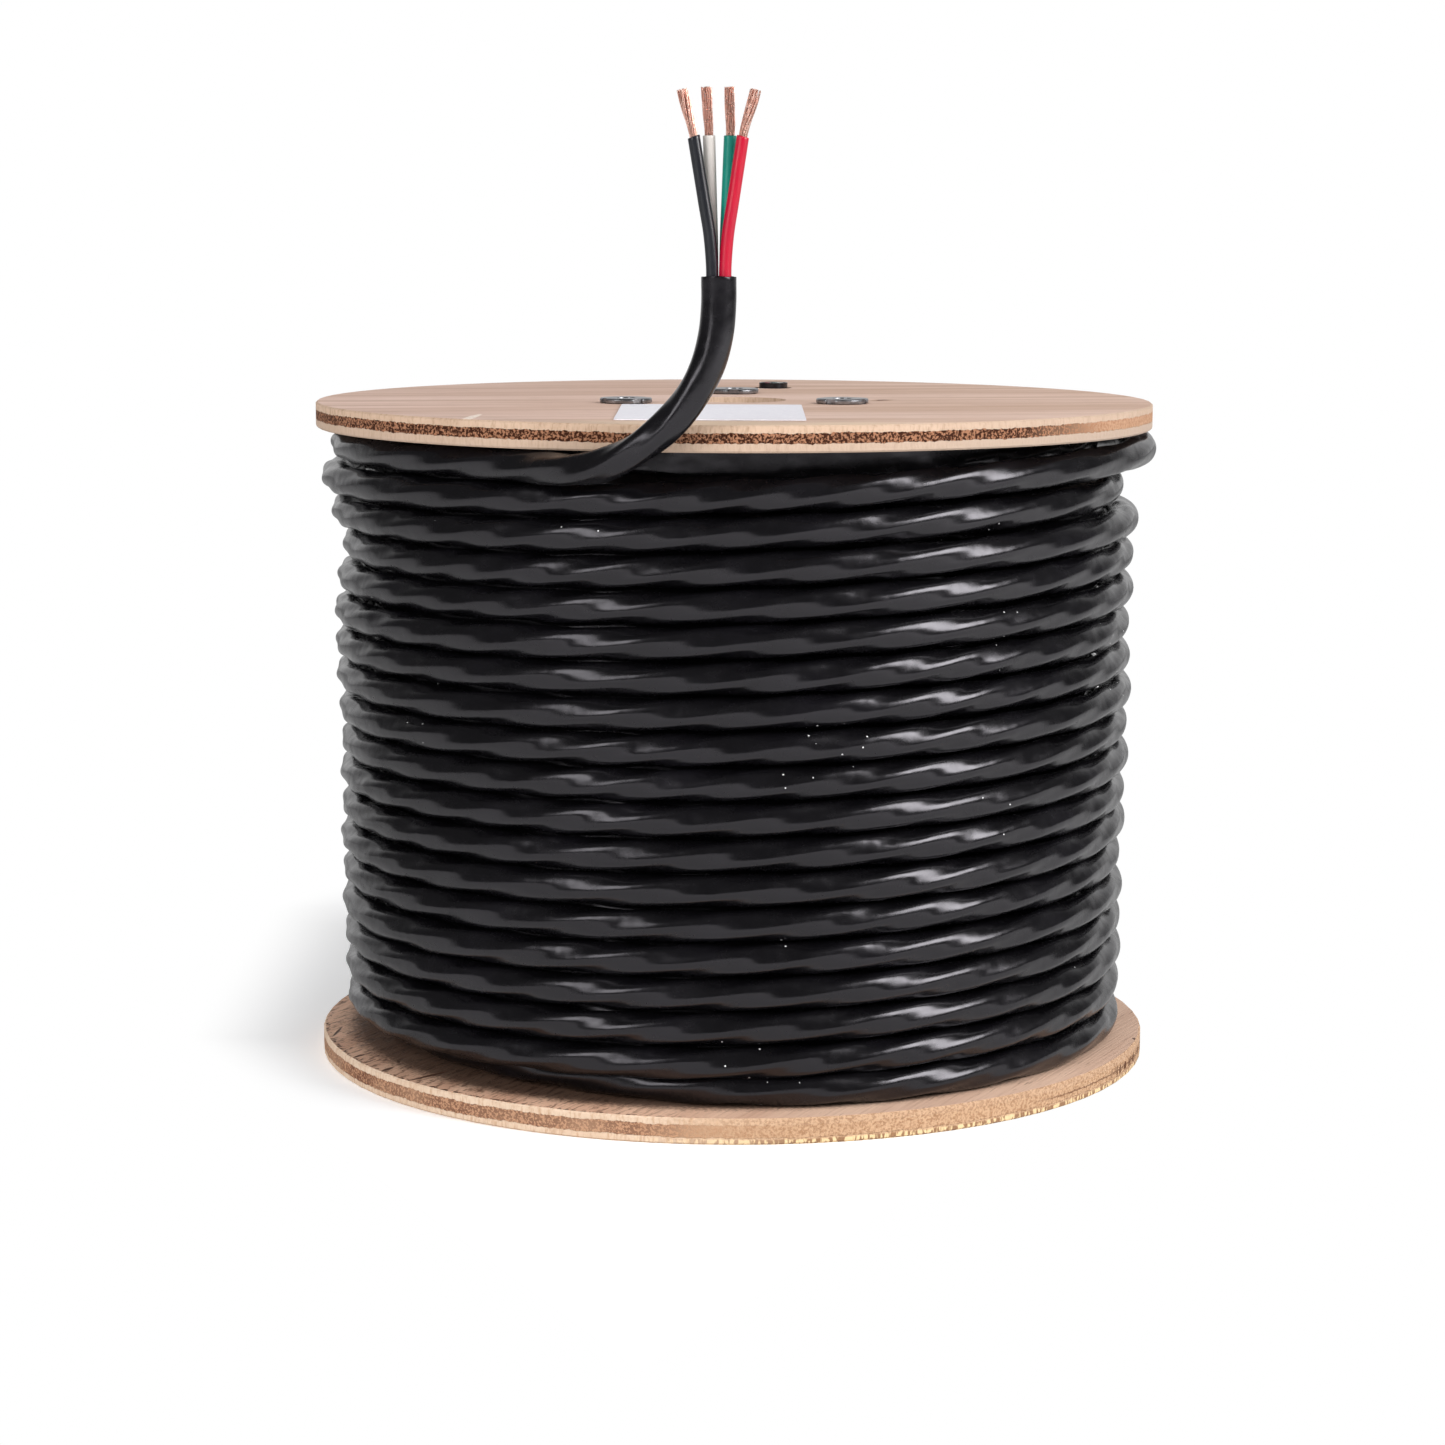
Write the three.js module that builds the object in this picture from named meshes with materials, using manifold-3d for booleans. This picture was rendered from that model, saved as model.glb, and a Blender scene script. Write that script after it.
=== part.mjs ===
// A plywood cable reel wound full of four-conductor cable, standing on its lower flange.
// Units are millimetres and +Z is up. The origin is the centre of the lower flange's bottom face.
// The cable winds counter-clockwise, seen from above, and climbs to the upper flange. Its free
// end leaves the last turn at the front left, clears the rim, bends up and stands stripped.
import * as THREE from 'three';
import { mergeVertices } from 'three/addons/utils/BufferGeometryUtils.js';
import Module from 'manifold-3d';

const wasm = await Module();
wasm.setup();

const DEGREES = Math.PI / 180;
const FULL_TURN = 2 * Math.PI;

// ---- Driving dimensions: the reel ------------------------------------------------------------
const FLANGE_DIAMETER = 305;
const FLANGE_THICKNESS = 9;
const FLANGE_EDGE_EASE = 0.6;
const TRAVERSE_HEIGHT = 222; // clear width between the two flanges
const ARBOR_DIAMETER = 38;
const BARREL_DIAMETER = 164;
const BARREL_WALL = 5;
const BARREL_GROOVE_DEPTH = 2.5;
const SEAT_GAP = 0.3; // left between pieces that touch
const CUTTER_REACH = 1; // of each cutter, past the face that it opens

// ---- Driving dimensions: the tie hardware ----------------------------------------------------
const TIE_COUNT = 3;
const TIE_CIRCLE_DIAMETER = 90;
const FIRST_TIE_ANGLE = 90 * DEGREES;
const BOLT_DIAMETER = 6.35;
const BOLT_TIP_DEPTH = 1.2; // below the upper flange's face
const BOLT_HOLE_CLEARANCE = 0.35; // on the radius
const HEAD_DIAMETER = 15;
const HEAD_HEIGHT = 3;
const NECK_HEIGHT = 3.2; // the square neck that bites the wood
const COUNTERBORE_DIAMETER = 18;
const COUNTERBORE_DEPTH = 3.9;
const NUT_PLATE_DIAMETER = 19;
const NUT_PLATE_THICKNESS = 1.6;
const NUT_BARREL_DIAMETER = 8.6;
const NUT_BARREL_LENGTH = 7;
const NUT_BORE_CLEARANCE = 0.3;
const PRONG_COUNT = 4;
const PRONG_LENGTH = 5.5;
const PRONG_WIDTH = 3.6;
const PRONG_THICKNESS = 1.2;
const PRONG_CIRCLE_DIAMETER = 15.4;
const PRONG_NOTCH_DEPTH = 1.1; // into the plate's rim, outside each prong

// ---- Driving dimensions: the label -----------------------------------------------------------
const LABEL_WIDTH = 64;
const LABEL_LENGTH = 90;
const LABEL_THICKNESS = 0.3;
const LABEL_CORNER_RADIUS = 1.5;
const LABEL_CENTRE_X = -8;
const LABEL_CENTRE_Y = -82;
const GLUE_GAP = 0.1;

// ---- Driving dimensions: the cable and its winding -------------------------------------------
const CABLE_DIAMETER = 11.4;
const JACKET_WALL = 0.6;
const INSULATION_WALL = 0.6;
const WINDING_DIAMETER_TOP = 295;
const WINDING_DIAMETER_BOTTOM = 288;
const TURN_GAP = 0.44; // least gap between neighbouring turns
const END_ANGLE = 225 * DEGREES; // where the free end leaves the last turn
const END_FRACTION = 0.625; // of a turn, past the whole turns
const START_LEAD = 0.04; // of a turn that the first turn gains, to pass over the cable's rise
const FLAT_SHARE = 0.625; // of the last turn that lies flat under the upper flange
const FLAT_FADE_TURNS = 6; // over which the turns below return to an even climb
const LOOSE_TURNS = [
  // where a turn stands out of the winding: turns before the end, reach and spread in turns
  { before: 0.6, reach: 8, spread: 0.15 },
  { before: 1.17, reach: 5.5, spread: 0.1 },
];
const UNEVENNESS = 0.5; // how far turns wander in and out
const CORE_CLEARANCE = 2; // between the plain core and the outer layer, at the layer's vertices
const RISE_ANGLE = 45 * DEGREES; // over which the cable rises to the outer layer
const RISE_HEIGHT = 12.5; // of that rise, measured along the reel's radius
const START_HOLE_DIAMETER = 14.5;
const START_HOLE_ANGLE = 80 * DEGREES;
const INNER_END_REACH = 2.5; // above the upper flange

// ---- Driving dimensions: the free end --------------------------------------------------------
// Its route as steps from the last turn: ahead along the cable, out from the reel, up.
const TAIL_ROUTE = [
  [0, 0, 0], [11, 0, 0], [22, 0, 0], [33, 0, 0], [44, 0, 0],
  [54, -0.3, 0], [64, -1.6, 1.2], [73.5, -4.2, 4.5], [82, -7.8, 9.7], [89.3, -12, 16.7],
  [95, -16, 25.2], [98.8, -19.2, 34.7], [100.6, -21.2, 45], [101, -22, 54.5], [101, -22, 63],
];
const JACKET_RECESS = 3; // how deep the cores start inside the jacket
const CORE_GAP = 0.2; // between neighbouring cores
const CORE_LENGTH = 44.5; // of each core outside the jacket
const CORE_STRAIGHT = 3; // of each core, before it starts to lean
const COPPER_LENGTH = 15.5;
const COPPER_RECESS = 2;
const COPPER_FLARE = 1.35; // the bundle's width at its tip, over that at the insulation
const STRANDS_AROUND = 9;
const STRAND_TWIST = 55 * DEGREES;
// Each core's place in the jacket (left or right, front or back) and how it leans at its end.
const CORES = [
  { name: 'black', side: -1, depth: -1, lean: -9.4, copperLean: -14, colour: 0x17171a },
  { name: 'white', side: -1, depth: 1, lean: -1.8, copperLean: -3, colour: 0xbdb8b3 },
  { name: 'green', side: 1, depth: 1, lean: 2.2, copperLean: -1, colour: 0x008c7d },
  { name: 'red', side: 1, depth: -1, lean: 8.6, copperLean: 15, colour: 0xc80023 },
];

// ---- Facets ----------------------------------------------------------------------------------
const FLANGE_SIDES = 72;
const BARREL_SIDES = 48;
const HOLE_SIDES = 20;
const LOOP_STEPS = 24;
const LOOP_SIDES = 6;
const TAIL_SIDES = 12;
const TAIL_STEPS = 14;
const CORE_SIDES = 10;
const CORE_STEPS = 5;
const COPPER_STEPS = 5;

// ---- Worked-out sizes ------------------------------------------------------------------------
const FLANGE_RADIUS = FLANGE_DIAMETER / 2;
const REEL_HEIGHT = TRAVERSE_HEIGHT + 2 * FLANGE_THICKNESS;
const UPPER_FLANGE_BASE = REEL_HEIGHT - FLANGE_THICKNESS;
const TIE_RADIUS = TIE_CIRCLE_DIAMETER / 2;
const CABLE_RADIUS = CABLE_DIAMETER / 2;

const LOWEST_TURN = FLANGE_THICKNESS + SEAT_GAP + CABLE_RADIUS;
const HIGHEST_TURN = UPPER_FLANGE_BASE - SEAT_GAP - CABLE_RADIUS;
const CLIMB = HIGHEST_TURN - LOWEST_TURN;
const WHOLE_TURNS = Math.floor(CLIMB / (CABLE_DIAMETER + TURN_GAP) - END_FRACTION - START_LEAD);
const TURNS = WHOLE_TURNS + END_FRACTION;
const PITCH = CLIMB / (TURNS + START_LEAD);

const JACKET_BORE_RADIUS = CABLE_RADIUS - JACKET_WALL;
const CORE_FIT = 0.15; // between the cores and the jacket's bore
const CORE_DIAMETER = (2 * (JACKET_BORE_RADIUS - CORE_FIT) - Math.SQRT2 * CORE_GAP) / (1 + Math.SQRT2);
const CORE_OFFSET = (CORE_DIAMETER + CORE_GAP) / 2;
const COPPER_BORE_RADIUS = CORE_DIAMETER / 2 - INSULATION_WALL;
const COPPER_FIT = 0.12;
const COPPER_RADIUS = COPPER_BORE_RADIUS - COPPER_FIT;

// ---- Geometry helpers ------------------------------------------------------------------------

/** A geometry with shared vertices and no empty triangles. */
function weld(geometry) {
  const bare = new THREE.BufferGeometry();
  bare.setAttribute('position', geometry.getAttribute('position'));
  if (geometry.index) bare.setIndex(geometry.index);
  const merged = mergeVertices(bare, 1e-4);
  const kept = [];
  for (let i = 0; i < merged.index.count; i += 3) {
    const [a, b, c] = [0, 1, 2].map((k) => merged.index.getX(i + k));
    if (a !== b && b !== c && c !== a) kept.push(a, b, c);
  }
  merged.setIndex(kept);
  return merged;
}

function solidOf(geometry) {
  const welded = weld(geometry);
  return new wasm.Manifold(new wasm.Mesh({
    numProp: 3,
    vertProperties: new Float32Array(welded.getAttribute('position').array),
    triVerts: new Uint32Array(welded.index.array),
  }));
}

function geometryOf(solid) {
  const mesh = solid.getMesh();
  const geometry = new THREE.BufferGeometry();
  geometry.setAttribute('position', new THREE.BufferAttribute(new Float32Array(mesh.vertProperties), 3));
  geometry.setIndex(new THREE.BufferAttribute(new Uint32Array(mesh.triVerts), 1));
  return geometry;
}

/** The closed outline of [radius, height] pairs, anticlockwise, turned about Z. */
function revolve(outline, sides) {
  const points = outline.map(([radius, height]) => new THREE.Vector2(radius, height));
  const closesOnAxis = outline[0][0] === 0 && outline[outline.length - 1][0] === 0;
  if (!closesOnAxis) points.push(points[0].clone());
  return weld(new THREE.LatheGeometry(points, sides).rotateX(Math.PI / 2));
}

function rod(radius, low, high, sides) {
  return revolve([[0, low], [radius, low], [radius, high], [0, high]], sides);
}

/** A closed body through rings of points, each ring anticlockwise about the way it travels. */
function loft(rings) {
  const count = rings[0].length;
  const positions = rings.flat().flatMap((point) => point.toArray());
  const faces = [];
  for (let i = 0; i + 1 < rings.length; i += 1) {
    for (let k = 0; k < count; k += 1) {
      const [here, next] = [i * count + k, i * count + ((k + 1) % count)];
      faces.push(here, next, here + count, next, next + count, here + count);
    }
  }
  const capEnd = (ring, forward) => {
    const centre = positions.length / 3;
    const middle = rings[ring].reduce((sum, point) => sum.add(point), new THREE.Vector3());
    positions.push(...middle.divideScalar(count).toArray());
    for (let k = 0; k < count; k += 1) {
      const [here, next] = [ring * count + k, ring * count + ((k + 1) % count)];
      faces.push(centre, forward ? here : next, forward ? next : here);
    }
  };
  capEnd(0, false);
  capEnd(rings.length - 1, true);
  const geometry = new THREE.BufferGeometry();
  geometry.setAttribute('position', new THREE.Float32BufferAttribute(positions, 3));
  geometry.setIndex(faces);
  return geometry;
}

/** A ring of points round a centre, square to a direction, starting on the side given. */
function ringAt(centre, direction, side, radiusAt, count) {
  const tangent = direction.clone().normalize();
  const binormal = tangent.clone().cross(side).normalize();
  const normal = binormal.clone().cross(tangent);
  return Array.from({ length: count }, (_, k) => {
    const angle = (k / count) * FULL_TURN;
    const radius = radiusAt(angle);
    return centre.clone()
      .addScaledVector(normal, radius * Math.cos(angle))
      .addScaledVector(binormal, radius * Math.sin(angle));
  });
}

/** A round bar of the given sides along a smooth curve through points. */
function barAlong(points, radius, sides, steps) {
  const outline = Array.from({ length: sides }, (_, k) => {
    const angle = (k / sides) * FULL_TURN;
    return new THREE.Vector2(radius * Math.cos(angle), radius * Math.sin(angle));
  });
  const extrudePath = new THREE.CatmullRomCurve3(points, false, 'centripetal');
  return weld(new THREE.ExtrudeGeometry(new THREE.Shape(outline), { steps, extrudePath }));
}

/** Sinks a round recess into the end of a solid. */
function boreEnd(solid, end, direction, radius, depth, sides) {
  const drill = rod(radius, -depth, depth, sides);
  const turn = new THREE.Quaternion().setFromUnitVectors(new THREE.Vector3(0, 0, 1), direction);
  drill.applyQuaternion(turn).translate(end.x, end.y, end.z);
  return solid.subtract(solidOf(drill));
}

const smooth = (t) => {
  const x = Math.min(1, Math.max(0, t));
  return x * x * (3 - 2 * x);
};

const polar = (radius, angle, z) => new THREE.Vector3(
  radius * Math.cos(angle), radius * Math.sin(angle), z,
);

/** Calls make with the angle of each tie bolt. */
const atEachTie = (make) => Array.from(
  { length: TIE_COUNT }, (_, i) => make(FIRST_TIE_ANGLE + (i / TIE_COUNT) * FULL_TURN, i + 1),
);

function placed(geometry, angle) {
  const spot = polar(TIE_RADIUS, angle, 0);
  return geometry.clone().rotateZ(angle).translate(spot.x, spot.y, 0);
}

// ---- The cable's path on the reel ------------------------------------------------------------

/** How many pitches the winding lies below its top, a number of turns before its end. */
function pitchesBelowTop(before) {
  const share = before - Math.floor(before);
  const stair = share <= FLAT_SHARE ? 0 : smooth((share - FLAT_SHARE) / (1 - FLAT_SHARE));
  const lag = (share - stair) * Math.exp(-before / FLAT_FADE_TURNS);
  const turned = TURNS - before;
  const lead = START_LEAD * (1 - smooth(turned));
  return before - lag + lead;
}

/** The centre of the cable in the outer layer, a number of turns before its end. */
function layerCentre(before) {
  const z = HIGHEST_TURN - PITCH * pitchesBelowTop(before);
  const share = (z - LOWEST_TURN) / CLIMB;
  const winding = THREE.MathUtils.lerp(WINDING_DIAMETER_BOTTOM, WINDING_DIAMETER_TOP, share) / 2;
  const loose = LOOSE_TURNS.reduce((sum, turn) => {
    const away = (before - turn.before) / turn.spread;
    return sum + turn.reach * Math.exp(-away * away);
  }, 0);
  const settled = 1 - Math.exp(-before * 2);
  const wander = UNEVENNESS * settled * Math.sin(before * 4.1) * Math.cos(before * 1.3);
  return polar(winding - CABLE_RADIUS + loose + wander, END_ANGLE - before * FULL_TURN, z);
}

function layerDirection(before) {
  const step = 1e-4;
  return layerCentre(before - step).sub(layerCentre(before + step)).normalize();
}

const layerEnd = layerCentre(0);
const layerEndDirection = layerDirection(0);

/** The free end's route, from its steps off the last turn. */
function tailPoints() {
  const outward = layerEnd.clone().setZ(0).normalize();
  const start = layerEnd.clone().addScaledVector(layerEndDirection, CABLE_DIAMETER + SEAT_GAP);
  return TAIL_ROUTE.map(([ahead, out, up]) => start.clone()
    .addScaledVector(layerEndDirection, ahead)
    .addScaledVector(outward, out)
    .add(new THREE.Vector3(0, 0, up)));
}

// ---- The reel --------------------------------------------------------------------------------

function flangeOutline() {
  const barrelRadius = BARREL_DIAMETER / 2;
  const [top, floor] = [FLANGE_THICKNESS, FLANGE_THICKNESS - BARREL_GROOVE_DEPTH];
  const grooveOuter = barrelRadius + SEAT_GAP;
  const grooveInner = barrelRadius - BARREL_WALL - SEAT_GAP;
  return [
    [ARBOR_DIAMETER / 2, 0], [FLANGE_RADIUS - FLANGE_EDGE_EASE, 0],
    [FLANGE_RADIUS, FLANGE_EDGE_EASE], [FLANGE_RADIUS, top - FLANGE_EDGE_EASE],
    [FLANGE_RADIUS - FLANGE_EDGE_EASE, top], [grooveOuter, top], [grooveOuter, floor],
    [grooveInner, floor], [grooveInner, top], [ARBOR_DIAMETER / 2, top],
  ];
}

/** The lower flange, with a counterbore, a square pocket and a hole for each tie bolt. */
function bottomFlange() {
  let flange = solidOf(revolve(flangeOutline(), FLANGE_SIDES));
  const boltHole = BOLT_DIAMETER / 2 + BOLT_HOLE_CLEARANCE;
  const pocketSide = BOLT_DIAMETER + 2 * SEAT_GAP;
  const pocketTop = COUNTERBORE_DEPTH + NECK_HEIGHT;
  const pocket = new THREE.BoxGeometry(pocketSide, pocketSide, pocketTop + CUTTER_REACH)
    .translate(0, 0, (pocketTop - CUTTER_REACH) / 2);
  const cutters = [
    rod(COUNTERBORE_DIAMETER / 2, -CUTTER_REACH, COUNTERBORE_DEPTH, HOLE_SIDES),
    pocket,
    rod(boltHole, -CUTTER_REACH, FLANGE_THICKNESS + CUTTER_REACH, HOLE_SIDES),
  ];
  atEachTie((angle) => {
    for (const cutter of cutters) flange = flange.subtract(solidOf(placed(cutter, angle)));
  });
  return geometryOf(flange);
}

/** A prong of a tee nut, or with slack the slot that it is driven into. */
function prong(index, slack) {
  const [halfWidth, length] = [PRONG_WIDTH / 2 + slack, PRONG_LENGTH + 2 * slack];
  const thickness = PRONG_THICKNESS + 2 * slack;
  const top = NUT_PLATE_THICKNESS / 2;
  const outline = new THREE.Shape([
    new THREE.Vector2(-halfWidth, top), new THREE.Vector2(-halfWidth, 0),
    new THREE.Vector2(0, -length), new THREE.Vector2(halfWidth, 0),
    new THREE.Vector2(halfWidth, top),
  ]);
  return new THREE.ExtrudeGeometry(outline, { depth: thickness, bevelEnabled: false })
    .translate(0, 0, -thickness / 2)
    .rotateX(Math.PI / 2)
    .translate(0, PRONG_CIRCLE_DIAMETER / 2, REEL_HEIGHT + SEAT_GAP)
    .rotateZ((index / PRONG_COUNT) * FULL_TURN);
}

const prongIndices = Array.from({ length: PRONG_COUNT }, (_, i) => i);

/** The upper flange, with a hole and four prong slots for each tee nut, and the start hole. */
function topFlange() {
  const outline = flangeOutline().map(([radius, z]) => [radius, REEL_HEIGHT - z]).reverse();
  let flange = solidOf(revolve(outline, FLANGE_SIDES));
  const [low, high] = [UPPER_FLANGE_BASE - CUTTER_REACH, REEL_HEIGHT + CUTTER_REACH];
  const cutters = [
    rod(NUT_BARREL_DIAMETER / 2 + SEAT_GAP, low, high, HOLE_SIDES),
    ...prongIndices.map((i) => prong(i, SEAT_GAP)),
  ];
  atEachTie((angle) => {
    for (const cutter of cutters) flange = flange.subtract(solidOf(placed(cutter, angle)));
  });
  const spot = startHoleCentre();
  const startHole = rod(START_HOLE_DIAMETER / 2, low, high, HOLE_SIDES).translate(spot.x, spot.y, 0);
  return geometryOf(flange.subtract(solidOf(startHole)));
}

/** The tube between the flanges, its ends seated in their grooves. */
function barrel() {
  const radius = BARREL_DIAMETER / 2;
  const low = FLANGE_THICKNESS - BARREL_GROOVE_DEPTH + SEAT_GAP;
  const high = REEL_HEIGHT - low;
  const inner = radius - BARREL_WALL;
  return revolve([[inner, low], [radius, low], [radius, high], [inner, high]], BARREL_SIDES);
}

/** A carriage bolt, head down in its counterbore, its tip inside the tee nut. */
function tieBolt(angle) {
  const seat = COUNTERBORE_DEPTH - SEAT_GAP;
  const rim = seat - HEAD_HEIGHT / 3;
  const bottom = seat - HEAD_HEIGHT;
  const overlap = 0.2;
  const head = revolve([
    [0, bottom], [HEAD_DIAMETER * 0.22, bottom + HEAD_HEIGHT * 0.08],
    [HEAD_DIAMETER * 0.4, bottom + HEAD_HEIGHT * 0.35], [HEAD_DIAMETER / 2, rim],
    [HEAD_DIAMETER / 2, seat], [0, seat],
  ], HOLE_SIDES);
  const neck = new THREE.BoxGeometry(BOLT_DIAMETER, BOLT_DIAMETER, NECK_HEIGHT + overlap)
    .translate(0, 0, seat + (NECK_HEIGHT - overlap) / 2);
  const tip = REEL_HEIGHT - BOLT_TIP_DEPTH;
  const chamfer = 0.8;
  const shank = revolve([
    [0, seat], [BOLT_DIAMETER / 2, seat], [BOLT_DIAMETER / 2, tip - chamfer],
    [BOLT_DIAMETER / 2 - chamfer, tip], [0, tip],
  ], HOLE_SIDES);
  const solid = solidOf(head).add(solidOf(neck)).add(solidOf(shank));
  return placed(geometryOf(solid), angle);
}

/** A tee nut: a round plate on the flange, a barrel in its hole and four prongs in the wood. */
function teeNut(angle) {
  const [base, bore] = [REEL_HEIGHT + SEAT_GAP, BOLT_DIAMETER / 2 + NUT_BORE_CLEARANCE];
  const [plate, neck] = [NUT_PLATE_DIAMETER / 2, NUT_BARREL_DIAMETER / 2];
  const foot = REEL_HEIGHT - NUT_BARREL_LENGTH;
  const bevel = NUT_PLATE_THICKNESS / 4;
  const top = base + NUT_PLATE_THICKNESS;
  let solid = solidOf(revolve([
    [bore, foot], [neck, foot], [neck, base], [plate, base], [plate, top - bevel],
    [plate - bevel, top], [bore, top],
  ], HOLE_SIDES));
  for (const i of prongIndices) {
    const notchDepth = 2 * PRONG_NOTCH_DEPTH;
    const notch = new THREE.BoxGeometry(PRONG_WIDTH, notchDepth, 2 * NUT_PLATE_THICKNESS)
      .translate(0, plate, top - NUT_PLATE_THICKNESS / 2)
      .rotateZ((i / PRONG_COUNT) * FULL_TURN);
    solid = solid.add(solidOf(prong(i, 0))).subtract(solidOf(notch));
  }
  return placed(geometryOf(solid), angle);
}

/** The paper label on the upper flange, bare of print. */
function flangeLabel() {
  const [x, y, r] = [LABEL_WIDTH / 2, LABEL_LENGTH / 2, LABEL_CORNER_RADIUS];
  const outline = new THREE.Shape();
  outline.absarc(x - r, y - r, r, 0, Math.PI / 2);
  outline.absarc(r - x, y - r, r, Math.PI / 2, Math.PI);
  outline.absarc(r - x, r - y, r, Math.PI, 1.5 * Math.PI);
  outline.absarc(x - r, r - y, r, 1.5 * Math.PI, FULL_TURN);
  const label = new THREE.ExtrudeGeometry(outline, {
    depth: LABEL_THICKNESS, bevelEnabled: false, curveSegments: 3,
  });
  return weld(label.translate(LABEL_CENTRE_X, LABEL_CENTRE_Y, REEL_HEIGHT + GLUE_GAP));
}

// ---- The cable on the reel -------------------------------------------------------------------

const startHoleCentre = () => polar(
  BARREL_DIAMETER / 2 + SEAT_GAP + CABLE_RADIUS, START_HOLE_ANGLE, 0,
);

/** The layers under the outer one as a plain core, with the cable's rise to the outer layer. */
function cablePack() {
  const inner = BARREL_DIAMETER / 2 + SEAT_GAP;
  const [low, high] = [FLANGE_THICKNESS + SEAT_GAP, UPPER_FLANGE_BASE - SEAT_GAP];
  const inset = CABLE_DIAMETER + CORE_CLEARANCE;
  const core = solidOf(revolve([
    [inner, low], [WINDING_DIAMETER_BOTTOM / 2 - inset, low],
    [WINDING_DIAMETER_TOP / 2 - inset, high], [inner, high],
  ], FLANGE_SIDES));
  return geometryOf(core.add(solidOf(cableRise())));
}

/** The cable's rise, from inside the core to face the outer layer's start. */
function cableRise() {
  const start = layerCentre(TURNS);
  const direction = layerDirection(TURNS).negate();
  const outward = start.clone().setZ(0).normalize();
  const face = start.clone().addScaledVector(direction, CABLE_DIAMETER + SEAT_GAP);
  const [faceRadius, faceAngle] = [Math.hypot(face.x, face.y), Math.atan2(face.y, face.x)];
  const steps = 6;
  const centres = Array.from({ length: steps + 1 }, (_, i) => {
    const t = i / steps;
    return polar(faceRadius - RISE_HEIGHT * smooth(t), faceAngle - RISE_ANGLE * t, face.z);
  });
  const rings = centres.map((centre, i) => {
    const ahead = i === 0 ? face.clone().add(direction) : centre;
    const behind = i === 0 ? face : centres[i - 1];
    return ringAt(centre, ahead.clone().sub(behind), outward, () => CABLE_RADIUS, LOOP_SIDES);
  });
  return loft(rings);
}

/** The outer layer: one unbroken tube, its ends straight for one cable diameter. */
function cableOuterLayer() {
  const steps = Math.round(TURNS * LOOP_STEPS);
  const ringBefore = (before, shift) => {
    const direction = layerDirection(before);
    const centre = layerCentre(before).addScaledVector(direction, shift);
    const outward = layerCentre(before).setZ(0).normalize();
    const radiusAt = () => CABLE_RADIUS;
    const quarter = Math.PI / 2; // turns the section so that its corners point up and down
    const side = outward.applyAxisAngle(direction, quarter);
    return ringAt(centre, direction, side, radiusAt, LOOP_SIDES);
  };
  const rings = Array.from({ length: steps + 1 }, (_, i) => ringBefore(TURNS - i / LOOP_STEPS, 0));
  rings.unshift(ringBefore(TURNS, -CABLE_DIAMETER));
  rings.push(ringBefore(0, CABLE_DIAMETER));
  console.log(`outer layer: ${TURNS} turns, least gap to itself ${leastSelfGap(rings).toFixed(3)} mm`);
  return loft(rings);
}

/** The least distance between points of a wound tube that are half a turn or more apart. */
function leastSelfGap(rings) {
  const nearby = LOOP_STEPS / 2;
  let least = Infinity;
  for (let i = 0; i < rings.length; i += 1) {
    for (let j = i + nearby; j < Math.min(rings.length, i + LOOP_STEPS + nearby); j += 1) {
      for (const a of rings[i]) for (const b of rings[j]) least = Math.min(least, a.distanceTo(b));
    }
  }
  return least;
}

/** The cable's inner end, up through the start hole. */
function cableInnerEnd() {
  const spot = startHoleCentre();
  const [low, high] = [UPPER_FLANGE_BASE, REEL_HEIGHT + INNER_END_REACH];
  return rod(CABLE_RADIUS, low, high, TAIL_SIDES).translate(spot.x, spot.y, 0);
}

// ---- The stripped free end -------------------------------------------------------------------

const jacketEnd = () => tailPoints().at(-1);

/** The jacketed free end, with a recess that the four cores come out of. */
function cableTail() {
  const bar = solidOf(barAlong(tailPoints(), CABLE_RADIUS, TAIL_SIDES, TAIL_STEPS));
  const up = new THREE.Vector3(0, 0, 1);
  const bore = boreEnd(bar, jacketEnd(), up, JACKET_BORE_RADIUS, JACKET_RECESS, 2 * TAIL_SIDES);
  return geometryOf(bore);
}

/** A core's centre line: straight out of the jacket, then leaning more and more. */
function corePoints(core) {
  const foot = jacketEnd().add(new THREE.Vector3(
    core.side * CORE_OFFSET, core.depth * CORE_OFFSET, SEAT_GAP - JACKET_RECESS,
  ));
  const rise = JACKET_RECESS - SEAT_GAP + CORE_STRAIGHT;
  const points = [foot, foot.clone().add(new THREE.Vector3(0, 0, rise))];
  const bends = 4;
  const stretch = (CORE_LENGTH - CORE_STRAIGHT) / bends;
  for (let i = 1; i <= bends; i += 1) {
    const lean = core.lean * DEGREES * Math.min(1, i / 2);
    const step = new THREE.Vector3(Math.sin(lean), 0, Math.cos(lean)).multiplyScalar(stretch);
    points.push(points.at(-1).clone().add(step));
  }
  return points;
}

const coreEndDirection = (core) => {
  const points = corePoints(core);
  const curve = new THREE.CatmullRomCurve3(points, false, 'centripetal');
  return curve.getTangent(1).normalize();
};

/** An insulated core, with a recess at its end for the copper. */
function conductor(core) {
  const points = corePoints(core);
  const bar = solidOf(barAlong(points, CORE_DIAMETER / 2, CORE_SIDES, CORE_STEPS));
  const direction = coreEndDirection(core);
  return geometryOf(
    boreEnd(bar, points.at(-1), direction, COPPER_BORE_RADIUS, COPPER_RECESS, CORE_SIDES),
  );
}

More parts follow.
